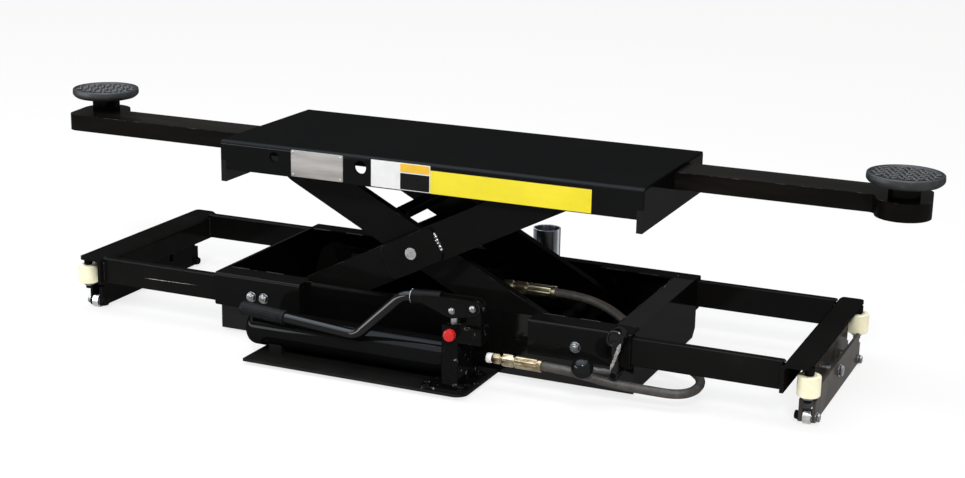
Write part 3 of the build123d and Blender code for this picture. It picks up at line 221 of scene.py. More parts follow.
# The rough casting's tone has sparse light specks: painted glints.
cast_paint_painted_glints = finish(
    "cast_paint_painted_glints",
    ((0.32, grey(0.0028)), (0.60, grey(0.0040, 0.04)), (0.64, grey(0.0180, 0.06)), (0.69, grey(0.30))),
    rough=(0.16, 0.34), grain=85.0, relief=((150.0, 1.0, 6.5), (420.0, 0.40, 0.8)), edge=3.2,
    Coat_Weight=0.010, Coat_Roughness=0.03, **PAINT)
gloss_paint = finish(
    "gloss_paint", ((0.30, grey(0.0026)), (0.62, grey(0.0040, 0.03)), (0.84, grey(0.0100, 0.05))),
    rough=(0.18, 0.32), grain=12.0, relief=ORANGE_PEEL, edge=1.6, Coat_Weight=0.040, Coat_Roughness=0.05,
    **PAINT)
tank_paint = finish(
    "tank_paint",
    ((0.30, grey(0.0026, -0.04)), (0.64, grey(0.0036, -0.02)), (0.84, grey(0.0090, 0.06))),
    rough=(0.20, 0.36), grain=9.0, relief=ORANGE_PEEL, edge=1.2, Coat_Weight=0.012, Coat_Roughness=0.06,
    **PAINT)
bolt_zinc = finish(
    "bolt_zinc", ((0.30, grey(0.09)), (0.55, grey(0.17)), (0.80, grey(0.28, 0.02))),
    rough=(0.22, 0.44), grain=140.0, relief=((900.0, 0.10, 0.1),), edge=0.3, Metallic=1.0)
zinc = finish(
    "zinc", ((0.30, grey(0.20)), (0.55, grey(0.31)), (0.80, grey(0.44, 0.02))),
    rough=(0.20, 0.42), grain=140.0, relief=((900.0, 0.10, 0.1),), edge=0.5, Metallic=1.0)
# Vertical light streaks in the storage tube's zinc tone: partly grain, partly a painted reflection streak.
dark_zinc_painted_streaks = finish(
    "dark_zinc_painted_streaks", ((0.34, grey(0.10, -0.08)), (0.50, grey(0.24, -0.06)), (0.62, grey(0.62))),
    rough=(0.22, 0.44), grain=95.0, stretch=(1, 1, 0.03), relief=((600.0, 0.10, 0.1),), edge=0.8,
    Metallic=1.0, Specular_Tint=(0.16, 0.18, 0.22, 1.0))
dull_zinc = finish(
    "dull_zinc", ((0.30, grey(0.035, 0.02)), (0.55, grey(0.070, 0.03)), (0.80, grey(0.130, 0.03))),
    rough=(0.45, 0.65), grain=160.0, relief=((900.0, 0.20, 0.2),), edge=0.4, Metallic=0.9)
bright_steel = finish(
    "bright_steel", ((0.30, grey(0.34)), (0.60, grey(0.50)), (0.85, grey(0.62))),
    rough=(0.14, 0.32), grain=200.0, relief=((1100.0, 0.08, 0.1),), edge=0.4, Metallic=1.0)
bead_paint = finish(
    "bead_paint", ((0.30, grey(0.004)), (0.55, grey(0.007, 0.05)), (0.80, grey(0.020))),
    rough=(0.14, 0.30), grain=160.0, relief=((700.0, 0.35, 0.4),), Coat_Weight=0.025, Coat_Roughness=0.05,
    **PAINT)
# A lighter, glossier copy of the weld paint for welds that show bright glints: painted glint.
bead_painted_glint = finish(
    "bead_painted_glint", ((0.30, grey(0.010)), (0.55, grey(0.030, 0.05)), (0.80, grey(0.10))),
    rough=(0.12, 0.28), grain=120.0, relief=((500.0, 0.30, 0.4),), Coat_Weight=0.40, Coat_Roughness=0.05,
    **PAINT)
yellow_zinc = finish(
    "yellow_zinc",
    ((0.28, (0.15, 0.115, 0.065)), (0.55, (0.29, 0.25, 0.165)), (0.80, (0.44, 0.40, 0.30))),
    rough=(0.22, 0.46), grain=110.0, stretch=(0.4, 1, 1), relief=((800.0, 0.10, 0.1),), edge=0.5,
    Metallic=1.0)
# A darker, browner copy of the yellow zinc for the pump's hose end: painted shade.
shaded_yellow_zinc = finish(
    "shaded_yellow_zinc",
    ((0.32, (0.060, 0.038, 0.018)), (0.50, (0.17, 0.13, 0.075)), (0.70, (0.36, 0.32, 0.22))),
    rough=(0.22, 0.46), grain=110.0, stretch=(0.4, 1, 1), relief=((800.0, 0.10, 0.1),), edge=0.5,
    Metallic=1.0)
# Bare steel: rubbed paint on the left rail, and on the latch lever partly rubbed paint and partly a painted
# highlight.
rubbed_steel_and_highlight = finish(
    "rubbed_steel_and_highlight", ((0.30, grey(0.10, 0.08)), (0.55, grey(0.30, 0.06)), (0.78, grey(0.55, 0.04))),
    rough=(0.28, 0.52), grain=190.0, relief=((800.0, 0.25, 0.3),), Metallic=1.0)
rubber = finish(
    "rubber", ((0.28, grey(0.013, -0.03)), (0.55, grey(0.021, -0.03)), (0.82, grey(0.044))),
    rough=(0.50, 0.78), grain=60.0, relief=((700.0, 0.25, 0.3),), edge=0.8, Coat_Weight=0.055,
    Coat_Roughness=0.45, **PAINT)
dusty_rubber = finish(
    "dusty_rubber", ((0.28, grey(0.026, 0.03)), (0.55, grey(0.050, 0.03)), (0.82, grey(0.095, 0.05))),
    rough=(0.55, 0.80), grain=70.0, relief=((700.0, 0.25, 0.3),), edge=0.8, Coat_Weight=0.055,
    Coat_Roughness=0.45, **PAINT)
grip_rubber = finish(
    "grip_rubber", ((0.28, grey(0.007, -0.03)), (0.55, grey(0.010, -0.04)), (0.82, grey(0.018))),
    rough=(0.48, 0.72), grain=70.0, relief=((800.0, 0.25, 0.3),), edge=0.6, Coat_Weight=0.010,
    Coat_Roughness=0.40, **PAINT)
nylon = finish(
    "nylon", ((0.25, (0.80, 0.74, 0.50)), (0.55, (0.88, 0.83, 0.60)), (0.85, (0.92, 0.88, 0.70))),
    rough=(0.36, 0.54), grain=40.0, relief=((500.0, 0.08, 0.2),), edge=0.8, Subsurface_Weight=0.15,
    Subsurface_Scale=0.01)
hose_rubber = finish(
    "hose_rubber", ((0.28, grey(0.030, 0.09)), (0.55, grey(0.052, 0.10)), (0.82, grey(0.090, 0.09))),
    rough=(0.55, 0.80), grain=90.0, relief=((1300.0, 0.30, 0.3),), Coat_Weight=0.035, Coat_Roughness=0.45,
    **PAINT)
red_plastic = finish(
    "red_plastic",
    ((0.28, (0.40, 0.012, 0.012)), (0.60, (0.54, 0.020, 0.020)), (0.85, (0.60, 0.04, 0.03))),
    rough=(0.24, 0.40), grain=60.0, relief=((400.0, 0.06, 0.2),), edge=0.6, Specular_IOR_Level=0.10,
    Coat_Weight=0.06, Coat_Roughness=0.15)
black_plastic = finish(
    "black_plastic", ((0.28, grey(0.0040)), (0.60, grey(0.0060)), (0.85, grey(0.0110))),
    rough=(0.16, 0.28), grain=60.0, relief=((300.0, 0.05, 0.2),), Coat_Weight=0.024, Coat_Roughness=0.06,
    **PAINT)
tape = finish(
    "tape", ((0.25, grey(0.74)), (0.55, grey(0.84)), (0.85, grey(0.90))),
    rough=(0.55, 0.75), grain=260.0, stretch=(3, 1, 1), relief=((900.0, 0.35, 0.4),))
silver_sheet = finish(
    "silver_sheet", ((0.28, grey(0.13, 0.07)), (0.55, grey(0.22, 0.07)), (0.85, grey(0.30, 0.05))),
    rough=(0.36, 0.55), grain=24.0, stretch=(0.25, 1, 3), relief=((900.0, 0.05, 0.1),), edge=0.4,
    Metallic=0.55)
yellow_vinyl = finish(
    "yellow_vinyl",
    ((0.25, (0.73, 0.60, 0.008)), (0.55, (0.79, 0.66, 0.010)), (0.85, (0.83, 0.70, 0.02))),
    rough=(0.36, 0.50), grain=18.0, relief=((300.0, 0.05, 0.2),), Specular_IOR_Level=0.3)
amber_vinyl = finish(
    "amber_vinyl",
    ((0.25, (0.70, 0.40, 0.010)), (0.55, (0.78, 0.46, 0.014)), (0.85, (0.82, 0.50, 0.03))),
    rough=(0.36, 0.50), grain=18.0, relief=((300.0, 0.05, 0.2),), Specular_IOR_Level=0.3)
white_vinyl = finish(
    "white_vinyl", ((0.25, grey(0.66)), (0.55, grey(0.74)), (0.85, grey(0.80))),
    rough=(0.36, 0.50), grain=18.0, relief=((300.0, 0.05, 0.2),), Specular_IOR_Level=0.3)
dark_vinyl = finish(
    "dark_vinyl", ((0.25, grey(0.0060)), (0.55, grey(0.0080)), (0.85, grey(0.0120))),
    rough=(0.36, 0.50), grain=18.0, relief=((300.0, 0.05, 0.2),), Specular_IOR_Level=0.04)

NODE_FINISHES = (
    (black_paint, "outer_legs inner_legs inner_cross_tube deck_bars left_pad_stem right_pad_stem "
                  "lever_socket pump_bolts latch_lever"),
    (sole_paint, "pump_plate"),
    (tray_paint, "base_tray end_bars"),
    (sleeve_paint, "rail_sleeves"),
    (shaded_inner_paint, "roller_tracks cylinder_bracket cylinder_barrel cylinder_gland cylinder_rod latch_bar "
                  "torque_tube lower_pivot_shaft lower_roller_axle"),
    (gloss_paint, "handle_tube outlet_fitting"),
    (deck_paint, "platform_deck"),
    (arm_paint, "left_arm right_arm"),
    (frame_paint, "left_frame right_frame left_roller_plates"),
    (lit_plate_paint, "right_roller_plates"),
    (cast_paint_painted_glints, "pump_head"),
    (tank_paint, "reservoir"),
    (zinc, "leg_pins upper_pivot_pins pump_piston"),
    (bolt_zinc, "lock_bolts lever_pins left_end_bolts right_end_bolts"),
    (dark_zinc_painted_streaks, "storage_tube"),
    (bright_steel, "lower_rollers upper_rollers left_front_roller left_back_roller right_front_roller "
                   "right_back_roller"),
    (yellow_zinc, "pump_hose_end cylinder_hose_end"),
    (rubber, "left_pad right_pad"),
    (grip_rubber, "handle_grip"),
    (nylon, "left_front_guide left_back_guide right_front_guide right_back_guide"),
    (hose_rubber, "hose"),
    (red_plastic, "release_knob"),
    (black_plastic, "latch_ball"),
    (tape, "thread_seal"),
)
for coating, names in NODE_FINISHES:
    for name in names.split():
        for slot in nodes[name].material_slots:
            slot.material = coating


# Hose, on the same route as its solid

HOSE_ROUTE = (
    (247, -225, 51.5), (288, -225, 51.5), (346, -207, 35.5), (395, -198, 29.5), (478, -192, 27.5),
    (478, -103, 31), (392, -88, 52), (332, -58, 82), (285, -26, 96), (233, -25, 109), (190, -25, 109),
)
HOSE_R = 7.5

hose_curve = bpy.data.curves.new("hydraulic_hose", "CURVE")
hose_curve.dimensions = "3D"
hose_curve.bevel_depth = HOSE_R * MM
hose_curve.bevel_resolution = 6
hose_curve.resolution_u = 16
hose_curve.use_fill_caps = True
spline = hose_curve.splines.new("NURBS")
spline.points.add(len(HOSE_ROUTE) - 1)
for point, place in zip(spline.points, HOSE_ROUTE):
    point.co = (*at(*place), 1.0)
spline.order_u = 3
spline.use_endpoint_u = True
hose_curve.materials.append(hose_rubber)
hose = bpy.data.objects.new("hydraulic_hose", hose_curve)
scene.collection.objects.link(hose)
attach(hose, "base")
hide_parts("hose")


# Shapes, as (points, faces)

def join(*shapes):
    """Several shapes as one."""
    points = []
    faces = []
    for shape_points, shape_faces in shapes:
        start = len(points)
        points += shape_points
        faces += [[start + index for index in face] for face in shape_faces]
    return points, faces


def skin(rings, closed=False):
    """Faces over rings of equal count: a closed skin joins last to first, and an open one is capped."""
    count = len(rings[0])
    points = [point for ring in rings for point in ring]
    faces = []
    last = len(rings) if closed else len(rings) - 1
    for index in range(last):
        low = index * count
        high = (index + 1) % len(rings) * count
        for step in range(count):
            beside = (step + 1) % count
            faces.append([low + step, low + beside, high + beside, high + step])
    if not closed:
        faces.append(list(range(count))[::-1])
        faces.append([len(points) - count + step for step in range(count)])
    return points, faces


def turned(start, axis, profile, flats=None, flutes=None, closed=False, segments=36):
    """(distance, radius) pairs turned about an axis.

    flats cuts a hexagon of that width, and flutes is (count, depth, low, high).
    """
    turn = axis.to_track_quat("Z", "Y")
    rings = []
    for along, radius in profile:
        ring = []
        for step in range(segments):
            angle = 2 * pi * step / segments
            r = radius
            if flats:
                r = min(r, flats / 2 / cos((angle + pi / 6) % (pi / 3) - pi / 6))
            if flutes and flutes[2] <= along <= flutes[3]:
                r -= flutes[1] * (0.5 - 0.5 * cos(flutes[0] * angle))
            ring.append(start + turn @ at(r * cos(angle), r * sin(angle), along))
        rings.append(ring)
    return skin(rings, closed)


RIPPLE = 3.2
RIPPLE_STEPS = 4
BEAD_SIDES = 10


def bead(places, radius, seed, ripple):
    """A weld bead along straight runs between places, rippled and a little uneven."""
    dice = Random(seed)
    corners = [at(*place) for place in places]
    stops = []
    for first, last in zip(corners, corners[1:]):
        run = last - first
        count = max(RIPPLE_STEPS, round(run.length / (ripple * MM / RIPPLE_STEPS)))
        stops += [(first + run * step / count, run.normalized()) for step in range(count + 1)]
    rings = []
    for index, (place, along) in enumerate(stops):
        phase = index % RIPPLE_STEPS / RIPPLE_STEPS
        end = min(1.0, 0.25 + min(index, len(stops) - 1 - index) / RIPPLE_STEPS)
        r = radius * MM * end * (0.80 + 0.26 * phase + dice.uniform(-0.05, 0.05))
        side = along.orthogonal().normalized()
        up = along.cross(side)
        sway = side * dice.uniform(-0.10, 0.10) * r + up * dice.uniform(-0.10, 0.10) * r
        ring = []
        for step in range(BEAD_SIDES):
            angle = 2 * pi * step / BEAD_SIDES
            ring.append(place + sway + (side * cos(angle) + up * sin(angle)) * r)
        rings.append(ring)
    return skin(rings)


def slab(place, right, up, size, corner, thick, lip=0.3):
    """A sheet with rounded corners; its back is at place, and its face stands out along right x up."""
    out = right.cross(up)
    half = (size[0] / 2, size[1] / 2)

    def outline(inset, rise):
        ring = []
        for turn_x, turn_y, start in ((1, 1, 0.0), (-1, 1, 0.5), (-1, -1, 1.0), (1, -1, 1.5)):
            for step in range(5):
                angle = pi * (start + step / 8)
                reach_x = turn_x * (half[0] - corner) + (corner - inset) * cos(angle)
                reach_y = turn_y * (half[1] - corner) + (corner - inset) * sin(angle)
                ring.append(place + (right * reach_x + up * reach_y + out * rise) * MM)
        return ring
    return skin([outline(0, 0), outline(0, thick - lip), outline(lip, thick)])


def piece(name, shape, coating, body, replaced=(), sharp=32):
    """A visible piece that rides on a body; edges sharper than an angle in degrees stay crisp."""
    points, faces = shape
    mesh = bpy.data.meshes.new(name)
    mesh.from_pydata(points, [], faces)
    mesh.update()
    mesh.polygons.foreach_set("use_smooth", [True] * len(mesh.polygons))
    mesh.set_sharp_from_angle(angle=radians(sharp))
    mesh.materials.append(coating)
    made = bpy.data.objects.new(name, mesh)
    scene.collection.objects.link(made)
    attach(made, body)
    if replaced:
        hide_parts(*replaced)


# Nuts, bolts and washers

def hex_head(place, axis, height, flats, washer=1.4, tip=0.0):
    """A chamfered nut or bolt head on a washer, with a stud's rounded tip through it if asked."""
    corner = flats / sqrt(3)
    head = turned(place, axis, (
        (washer, flats * 0.46), (washer + 0.8, flats * 0.50), (washer + 1.6, corner),
        (height - 1.6, corner), (height - 0.3, flats * 0.48), (height, flats * 0.44),
        (height, flats * 0.30), (height - 0.3, flats * 0.27),
    ), flats)
    ring = turned(place, axis, ((0, corner * 1.12), (washer - 0.3, corner * 1.12), (washer, corner * 1.08)))
    if not tip:
        return join(head, ring)
    r = flats * 0.29
    end = height + tip
    stud = turned(place, axis, ((0, r), (end - 1, r), (end - 0.2, r - 0.7), (end, r - 1.6)))
    return join(head, ring, stud)


def round_head(place, axis, radius, height):
    """A domed pin head on a thin washer."""
    return join(
        turned(place, axis, ((0, radius), (0.8, radius), (1.0, radius - 0.2))),
        turned(place, axis, ((0.6, radius - 1), (height - 1.3, radius - 1), (height - 0.4, radius - 2),
                             (height, radius - 3.5))))


SLEEVE_FACE = -185.1
LOCK_Z = 76.5
LOCK_X = (-304, -280, 286)
lock_heads = [hex_head(at(x, SLEEVE_FACE, LOCK_Z), -Y, height=6.0, flats=14.0, tip=1.0) for x in LOCK_X]
piece("lock_bolt_heads", join(*lock_heads), bolt_zinc, "base", ["lock_bolts"])

FOOT_BOLTS = ((80.0, -293.5), (138.0, -293.5), (138.0, -222.0))
FOOT_TOP = 17.0
foot_heads = [hex_head(at(x, y, FOOT_TOP), Z, height=7.0, flats=12.5) for x, y in FOOT_BOLTS]
piece("pump_foot_bolts", join(*foot_heads), cast_paint_painted_glints, "base", ["pump_bolts"])

LEVER_Y = -276
LEVER_HALF = 13
LEVER_PINS = ((154.0, 149.5), (119.0, 141.5))
pin_parts = []
for x, z in LEVER_PINS:
    pin_parts.append(turned(at(x, LEVER_Y - LEVER_HALF, z), Y, ((0, 4.5), (2 * LEVER_HALF, 4.5))))
    for side in BOTH:
        face = at(x, LEVER_Y + side * LEVER_HALF, z)
        pin_parts.append(round_head(face, side * Y, radius=5.6, height=4.0))
piece("lever_pin_heads", join(*pin_parts), bolt_zinc, "pump_lever", ["lever_pins"])


# Hose ends

OUTLET_Y = -225
OUTLET_Z = 51.5
SEAL_X = (153, 162)
PORT = at(92, -25, 109)
CRIMP_BORE = 7.6
NECK_R = 8.6
NECK_SHARE = 0.43


def hose_end(name, start, lengths, flats, crimp, coating, nodes_replaced):
    """Two chamfered hexagons and a fluted ferrule that ends in a plain ring."""
    first, second, ferrule = lengths
    front, back = flats
    front_corner = front / sqrt(3)
    back_corner = back / sqrt(3)
    neck = min(NECK_R, NECK_SHARE * front)
    front_nut = turned(start, X, (
        (0, front * 0.44), (1.5, front * 0.5), (2.6, front_corner), (first - 3.0, front_corner),
        (first - 1.6, front * 0.5), (first, front * 0.40),
    ), front)
    back_nut = turned(start, X, (
        (first - 0.5, neck), (first + 2.5, neck), (first + 2.6, back * 0.46), (first + 4.0, back_corner),
        (second - 3.0, back_corner), (second - 1.4, back * 0.48), (second, back * 0.42),
    ), back)
    sleeve = turned(start, X, (
        (second - 0.5, CRIMP_BORE), (second + 1.5, 7.8), (second + 1.6, crimp - 1.1), (second + 3.0, crimp),
        (ferrule - 9.0, crimp), (ferrule - 8.2, crimp - 0.7), (ferrule - 6.8, crimp - 0.7),
        (ferrule - 6.0, crimp + 0.1), (ferrule - 1.2, crimp + 0.1), (ferrule, crimp - 0.7),
        (ferrule, CRIMP_BORE),
    ), flutes=(14, 0.9, second + 2.0, ferrule - 8.5), segments=84)
    piece(name, join(front_nut, back_nut, sleeve), coating, "base", nodes_replaced)


hose_end("pump_hose_fitting", at(SEAL_X[1], OUTLET_Y, OUTLET_Z), lengths=(15, 38, 85),
         flats=(14.5, 18.0), crimp=10.0, coating=shaded_yellow_zinc, nodes_replaced=["pump_hose_end"])
hose_end("cylinder_hose_fitting", PORT, lengths=(22, 47, 98), flats=(20.0, 20.0), crimp=10.9,
         coating=yellow_zinc, nodes_replaced=["cylinder_hose_end"])
WRAP_STEP = 0.75
WRAP_R = 7.5
wraps = [(step * WRAP_STEP, WRAP_R + 0.4 * (step % 2)) for step in range(13)]
piece("thread_seal_tape", turned(at(SEAL_X[0], OUTLET_Y, OUTLET_Z), X, wraps), tape, "base",
      ["thread_seal"])


# Rollers of the two frames; an inset is measured inward from a frame's reach

REACHES = {"left": (-1, 654.9), "right": (1, 660.6)}
INNER_FACE = 21.6
OUTER_FACE = 4.4
GUIDE_INSET = 5
GUIDE_Y = 171
GUIDE_RING = (
    (52.5, 6.05), (52.5, 15.5), (53.0, 16.8), (54.6, 18.0), (69.0, 18.1), (84.0, 18.0), (85.5, 16.8),
    (86.0, 15.5), (86.0, 10.4), (84.4, 10.0), (84.4, 6.05),
)
GUIDE_NUT_TOP = 52.2
AXLE_INSET = 8.1
AXLE_Y = 150
AXLE_Z = 12
RACE_RING = (
    (-6.2, 4.05), (-6.2, 6.4), (-5.2, 6.6), (-5.2, 9.2), (-6.2, 9.4), (-6.2, 11.2), (-5.4, 12.0),
    (5.4, 12.0), (6.2, 11.2), (6.2, 9.4), (5.2, 9.2), (5.2, 6.6), (6.2, 6.4), (6.2, 4.05),
)
END_BOLT_Z = 40
SPACER_INSET = 15.6
for name, (side, reach) in REACHES.items():
    inner_near = reach - INNER_FACE
    outer_far = reach + OUTER_FACE
    out = side * X
    parts = []
    studs = []
    for back, word in ((-1, "front"), (1, "back")):
        guide = at(side * (reach - GUIDE_INSET), back * GUIDE_Y, 0)
        piece(f"{name}_{word}_nylon_roller", turned(guide, Z, GUIDE_RING, closed=True, segments=48), nylon,
              f"{name}_{word}_guide", [f"{name}_{word}_guide"])
        axle = at(side * (reach - AXLE_INSET), back * AXLE_Y, AXLE_Z)
        piece(f"{name}_{word}_bearing", turned(axle, X, RACE_RING, closed=True, segments=48), bright_steel,
              f"{name}_{word}_roller", [f"{name}_{word}_roller"])
        parts.append(turned(axle - out * (13.5 * MM), out, ((0, 4.0), (26.0, 4.0))))
        parts.append(hex_head(at(side * outer_far, back * AXLE_Y, AXLE_Z), out, height=6.6, flats=13))
        studs.append(hex_head(at(side * inner_near, back * AXLE_Y, AXLE_Z), -out, height=6.6, flats=13))
        studs.append(turned(guide, Z, ((41.2, 4.6), (42.2, 5.9), (98.0, 6.0))))
        studs.append(turned(guide, Z, ((86.3, 7.1), (86.8, 7.5), (98.0, 7.5))))
        parts.append(hex_head(guide + at(0, 0, GUIDE_NUT_TOP), -Z, height=5.4, flats=16, washer=1.2))
    bolt_start = at(side * (inner_near - 1), 0, END_BOLT_Z)
    parts.append(turned(bolt_start, out, ((0, 5.0), (28.0, 5.0))))
    parts.append(turned(at(side * (reach - SPACER_INSET), 0, END_BOLT_Z), out, ((0, 10.0), (15.0, 10.0))))
    parts.append(hex_head(at(side * outer_far, 0, END_BOLT_Z), out, height=6.8, flats=16))
    studs.append(hex_head(at(side * inner_near, 0, END_BOLT_Z), -out, height=6.8, flats=17))
    piece(f"{name}_end_fasteners", join(*parts), bolt_zinc, f"{name}_frame",
          [f"{name}_end_bolts"])
    piece(f"{name}_guide_studs", join(*studs), black_paint, f"{name}_frame")


# Rubber pads with a tread of short raised bars

PAD_LOW = 353.94
PAD_TREAD = 14.2
PAD_TOP = 17.0
BAR_PITCH = 10.6
ROW_SHARE = 0.92
TREAD_R = 49.0
for name, x in (("left", -721.9), ("right", 743.8)):
    hub = at(x, 0, PAD_LOW)
    disc = turned(hub, Z, (
        (0, 51.0), (0.6, 53.2), (3.0, 56.6), (5.4, 58.8), (7.2, 59.7), (10.0, 59.9), (14.8, 59.5),
        (16.0, 59.0), (16.8, 58.0), (PAD_TOP, 56.8), (16.8, 55.6), (PAD_TREAD + 0.4, 54.6),
        (PAD_TREAD, 54.0), (PAD_TREAD, 2.0),
    ), segments=96)
    parts = []
    for row in range(-5, 6):
        for column in range(-5, 6):
            shift = 0.5 * BAR_PITCH * (row % 2)
            place = Vector((column * BAR_PITCH + shift, row * BAR_PITCH * ROW_SHARE, 0))
            if place.length > TREAD_R:
                continue
            lean = radians(35 if (row + column) % 2 else -50)
            right = X * cos(lean) + Y * sin(lean)
            up = Y * cos(lean) - X * sin(lean)
            top = hub + at(place.x, place.y, PAD_TREAD)
            parts.append(slab(top, right, up, size=(10.2, 4.4), corner=1.6,
                              thick=PAD_TOP - PAD_TREAD, lip=0.9))
    piece(f"{name}_tread_pad", disc, rubber, f"{name}_pad", [f"{name}_pad"])
    piece(f"{name}_tread_bars", join(*parts), dusty_rubber, f"{name}_pad")


# Release knob and latch

KNOB_X = 121
KNOB_Z = 106
KNOB_BACK = -294
NEEDLE_BACK = -285
knob = turned(at(KNOB_X, KNOB_BACK, KNOB_Z), -Y, (
    (0, 7.4), (0.6, 8.0), (2.2, 8.6), (3.4, 9.8), (9.6, 9.8), (11.6, 9.0), (12.7, 7.2), (13.0, 4.4),
    (12.6, 1.8),
), flutes=(12, 0.8, 3.0, 10.0), segments=72)
needle = turned(at(KNOB_X, NEEDLE_BACK, KNOB_Z), -Y, ((0, 4.9), (9.5, 4.9)))
piece("release_knob_cap", join(knob, needle), red_plastic, "release_knob", ["release_knob"])

BALL = at(318, -238, 64.5)
BALL_R = 17.0
BALL_FLAT = 15.6
ROD_LINE = (at(360, -205, 52) - BALL).normalized()
arc = [(BALL_R * cos(pi * step / 24), BALL_R * sin(pi * step / 24)) for step in range(24, -1, -1)]
sphere = [(along, max(radius, 0.2)) for along, radius in arc if along < BALL_FLAT - 0.2]
sphere += [(BALL_FLAT, 7.2), (BALL_FLAT, 4.6)]
piece("latch_knob", turned(BALL, ROD_LINE, sphere, segments=48), black_plastic, "latch",
      ["latch_ball"])
rod = ((14.5, 4.5), (17.4, 4.5), (17.9, 4.0), (19.4, 4.0), (19.9, 4.5), (46.0, 4.5))
piece("latch_knob_rod", turned(BALL, ROD_LINE, rod, segments=32), dull_zinc, "latch")

BOSS_X = 360.0
BOSS_BACK = -189.0
BOSS_Z = 109
HUB_Z = 50
lever_boss = turned(at(BOSS_X, BOSS_BACK, BOSS_Z), -Y, (
    (0, 13.6), (0.8, 14.6), (2.0, 15.0), (22.6, 15.0), (24.2, 14.4), (25.0, 13.2), (25.0, 10.4),
    (24.2, 9.8), (23.4, 9.4), (23.4, 1.0),
), segments=48)
lever_hub = turned(at(BOSS_X, BOSS_BACK, HUB_Z), -Y, (
    (0, 5.1), (0, 6.4), (0.6, 7.0), (24.0, 7.0), (25.0, 6.2), (25.0, 5.1),
), closed=True)
ARM_STEPS = 12
ARM_SIDES = 32
ARM_POWER = 0.6
arm_rings = []
for step in range(ARM_STEPS + 1):
    drop = step / ARM_STEPS
    half = 8.0 - 1.6 * drop
    depth = 12.0 - 6.8 * drop
    middle = at(BOSS_X, -202.0 - 6.6 * drop, 106.0 - 52.0 * drop)
    ring = []
    for turn_step in range(ARM_SIDES):
        angle = 2 * pi * turn_step / ARM_SIDES
        wide = abs(cos(angle)) ** ARM_POWER * (1 if cos(angle) > 0 else -1)
        deep = abs(sin(angle)) ** ARM_POWER * (1 if sin(angle) > 0 else -1)
        ring.append(middle + at(half * wide, depth * deep, 0))
    arm_rings.append(ring)
piece("latch_lever_arm", join(lever_boss, lever_hub, skin(arm_rings)), gloss_paint, "latch",
      ["latch_lever"])


# Bare metal strips: rubbed-off paint on the left rail, and on the latch lever partly rubbed paint and
# partly a painted highlight

RUB_STEP = 2.5
RUB_RISE = 0.15


def rubbed(start, end, widths, out, seed):
    """A ragged bare-metal strip along a line on a face that looks along out."""
    dice = Random(seed)
    run = end - start
    side = run.cross(out).normalized()
    count = max(8, round(run.length / (RUB_STEP * MM)))
    rings = []
    for step in range(count + 1):
        share = step / count
        taper = min(1.0, 6 * share + 0.1, 6 * (1 - share) + 0.1)
        half = (widths[0] + (widths[1] - widths[0]) * share) / 2 * taper
        left = side * half * dice.uniform(0.65, 1.1) * MM
        right = side * half * dice.uniform(0.65, 1.1) * MM
        rise = out * (RUB_RISE * MM)
        place = start + run * share
        rings.append([place - left, place + right, place + right + rise, place - left + rise])
    return skin(rings)


# The latch lever's bright band is drawn as bare metal: partly rubbed paint, partly a painted highlight.
lever_out = Vector((0.0, -0.97, 0.23)).normalized()
band = rubbed(at(370.5, -214.1, 104), at(355.0, -213.9, 57), widths=(7.5, 4.4), out=lever_out, seed=5)
piece("latch_rubbed_and_highlight_band", band, rubbed_steel_and_highlight, "latch")
RAIL_FACE = -180.8
scratch = rubbed(at(-524, RAIL_FACE, 78.6), at(-414, RAIL_FACE, 80.2), widths=(1.3, 0.3), out=-Y, seed=9)
piece("rail_rub_mark", scratch, rubbed_steel_and_highlight, "left_frame")


# Handle grip

GRIP_LINE = Vector((210.0, 0, -16.7)).normalized()
grip_start = at(-264, LEVER_Y, 88.7) - GRIP_LINE * (5 * MM)
grip = turned(grip_start, GRIP_LINE, (
    (0, 3.0), (0.4, 7.0), (2.0, 10.2), (5.0, 11.8), (8.0, 12.0), (9.0, 11.6), (74.0, 11.6), (75.0, 11.2),
    (77.5, 11.2), (78.5, 12.0), (83.0, 12.0), (84.0, 11.2), (84.0, 9.05),
), flutes=(18, 0.5, 8.5, 74.5), segments=108)
piece("handle_grip_sleeve", grip, grip_rubber, "pump_lever", ["handle_grip"])


# Bare plates on the front flange: no words, signs or numbers

FLANGE = -155.0
plate = slab(at(-192.0, FLANGE, 311.0), X, Z, size=(98.0, 45.0), corner=2.0, thick=0.8)
piece("bare_silver_plate", plate, silver_sheet, "platform")
RIVET_PROFILE = ((0, 1.9), (0.5, 1.7), (0.9, 0.9))
rivets = [turned(at(x, FLANGE - 0.7, z), -Y, RIVET_PROFILE, segments=16)
          for x in (-236.5, -147.5) for z in (292.5, 329.5)]
piece("bare_plate_rivets", join(*rivets), zinc, "platform")

PANEL_LIP = 0.15
PANELS = (
    ("white_panel", -37.4, 310.8, (107.2, 45.0), 0.6, 0.4, white_vinyl, "seal_tape"),
    ("amber_panel", -11.3, 325.4, (52.4, 13.6), 0.4, 0.7, amber_vinyl, "yellow_zinc"),
    ("dark_panel", -11.3, 303.0, (52.4, 27.0), 0.4, 0.7, dark_vinyl, "black_plastic"),
    ("yellow_panel", 155.0, 307.0, (277.0, 38.0), 0.6, 0.4, yellow_vinyl, "yellow_zinc"),
)
for name, x, z, size, corner, thick, coating, slot in PANELS:
    panel = slab(at(x, FLANGE, z), X, Z, size, corner, thick, PANEL_LIP)
    piece(name, panel, coating, "platform")


# Weld beads

def welds(name, runs, radius, body, coating=bead_paint, ripple=RIPPLE):
    """One piece of several weld beads."""
    beads = [bead(run, radius, seed, ripple) for seed, run in enumerate(runs)]
    piece(name, join(*beads), coating, body, sharp=60)


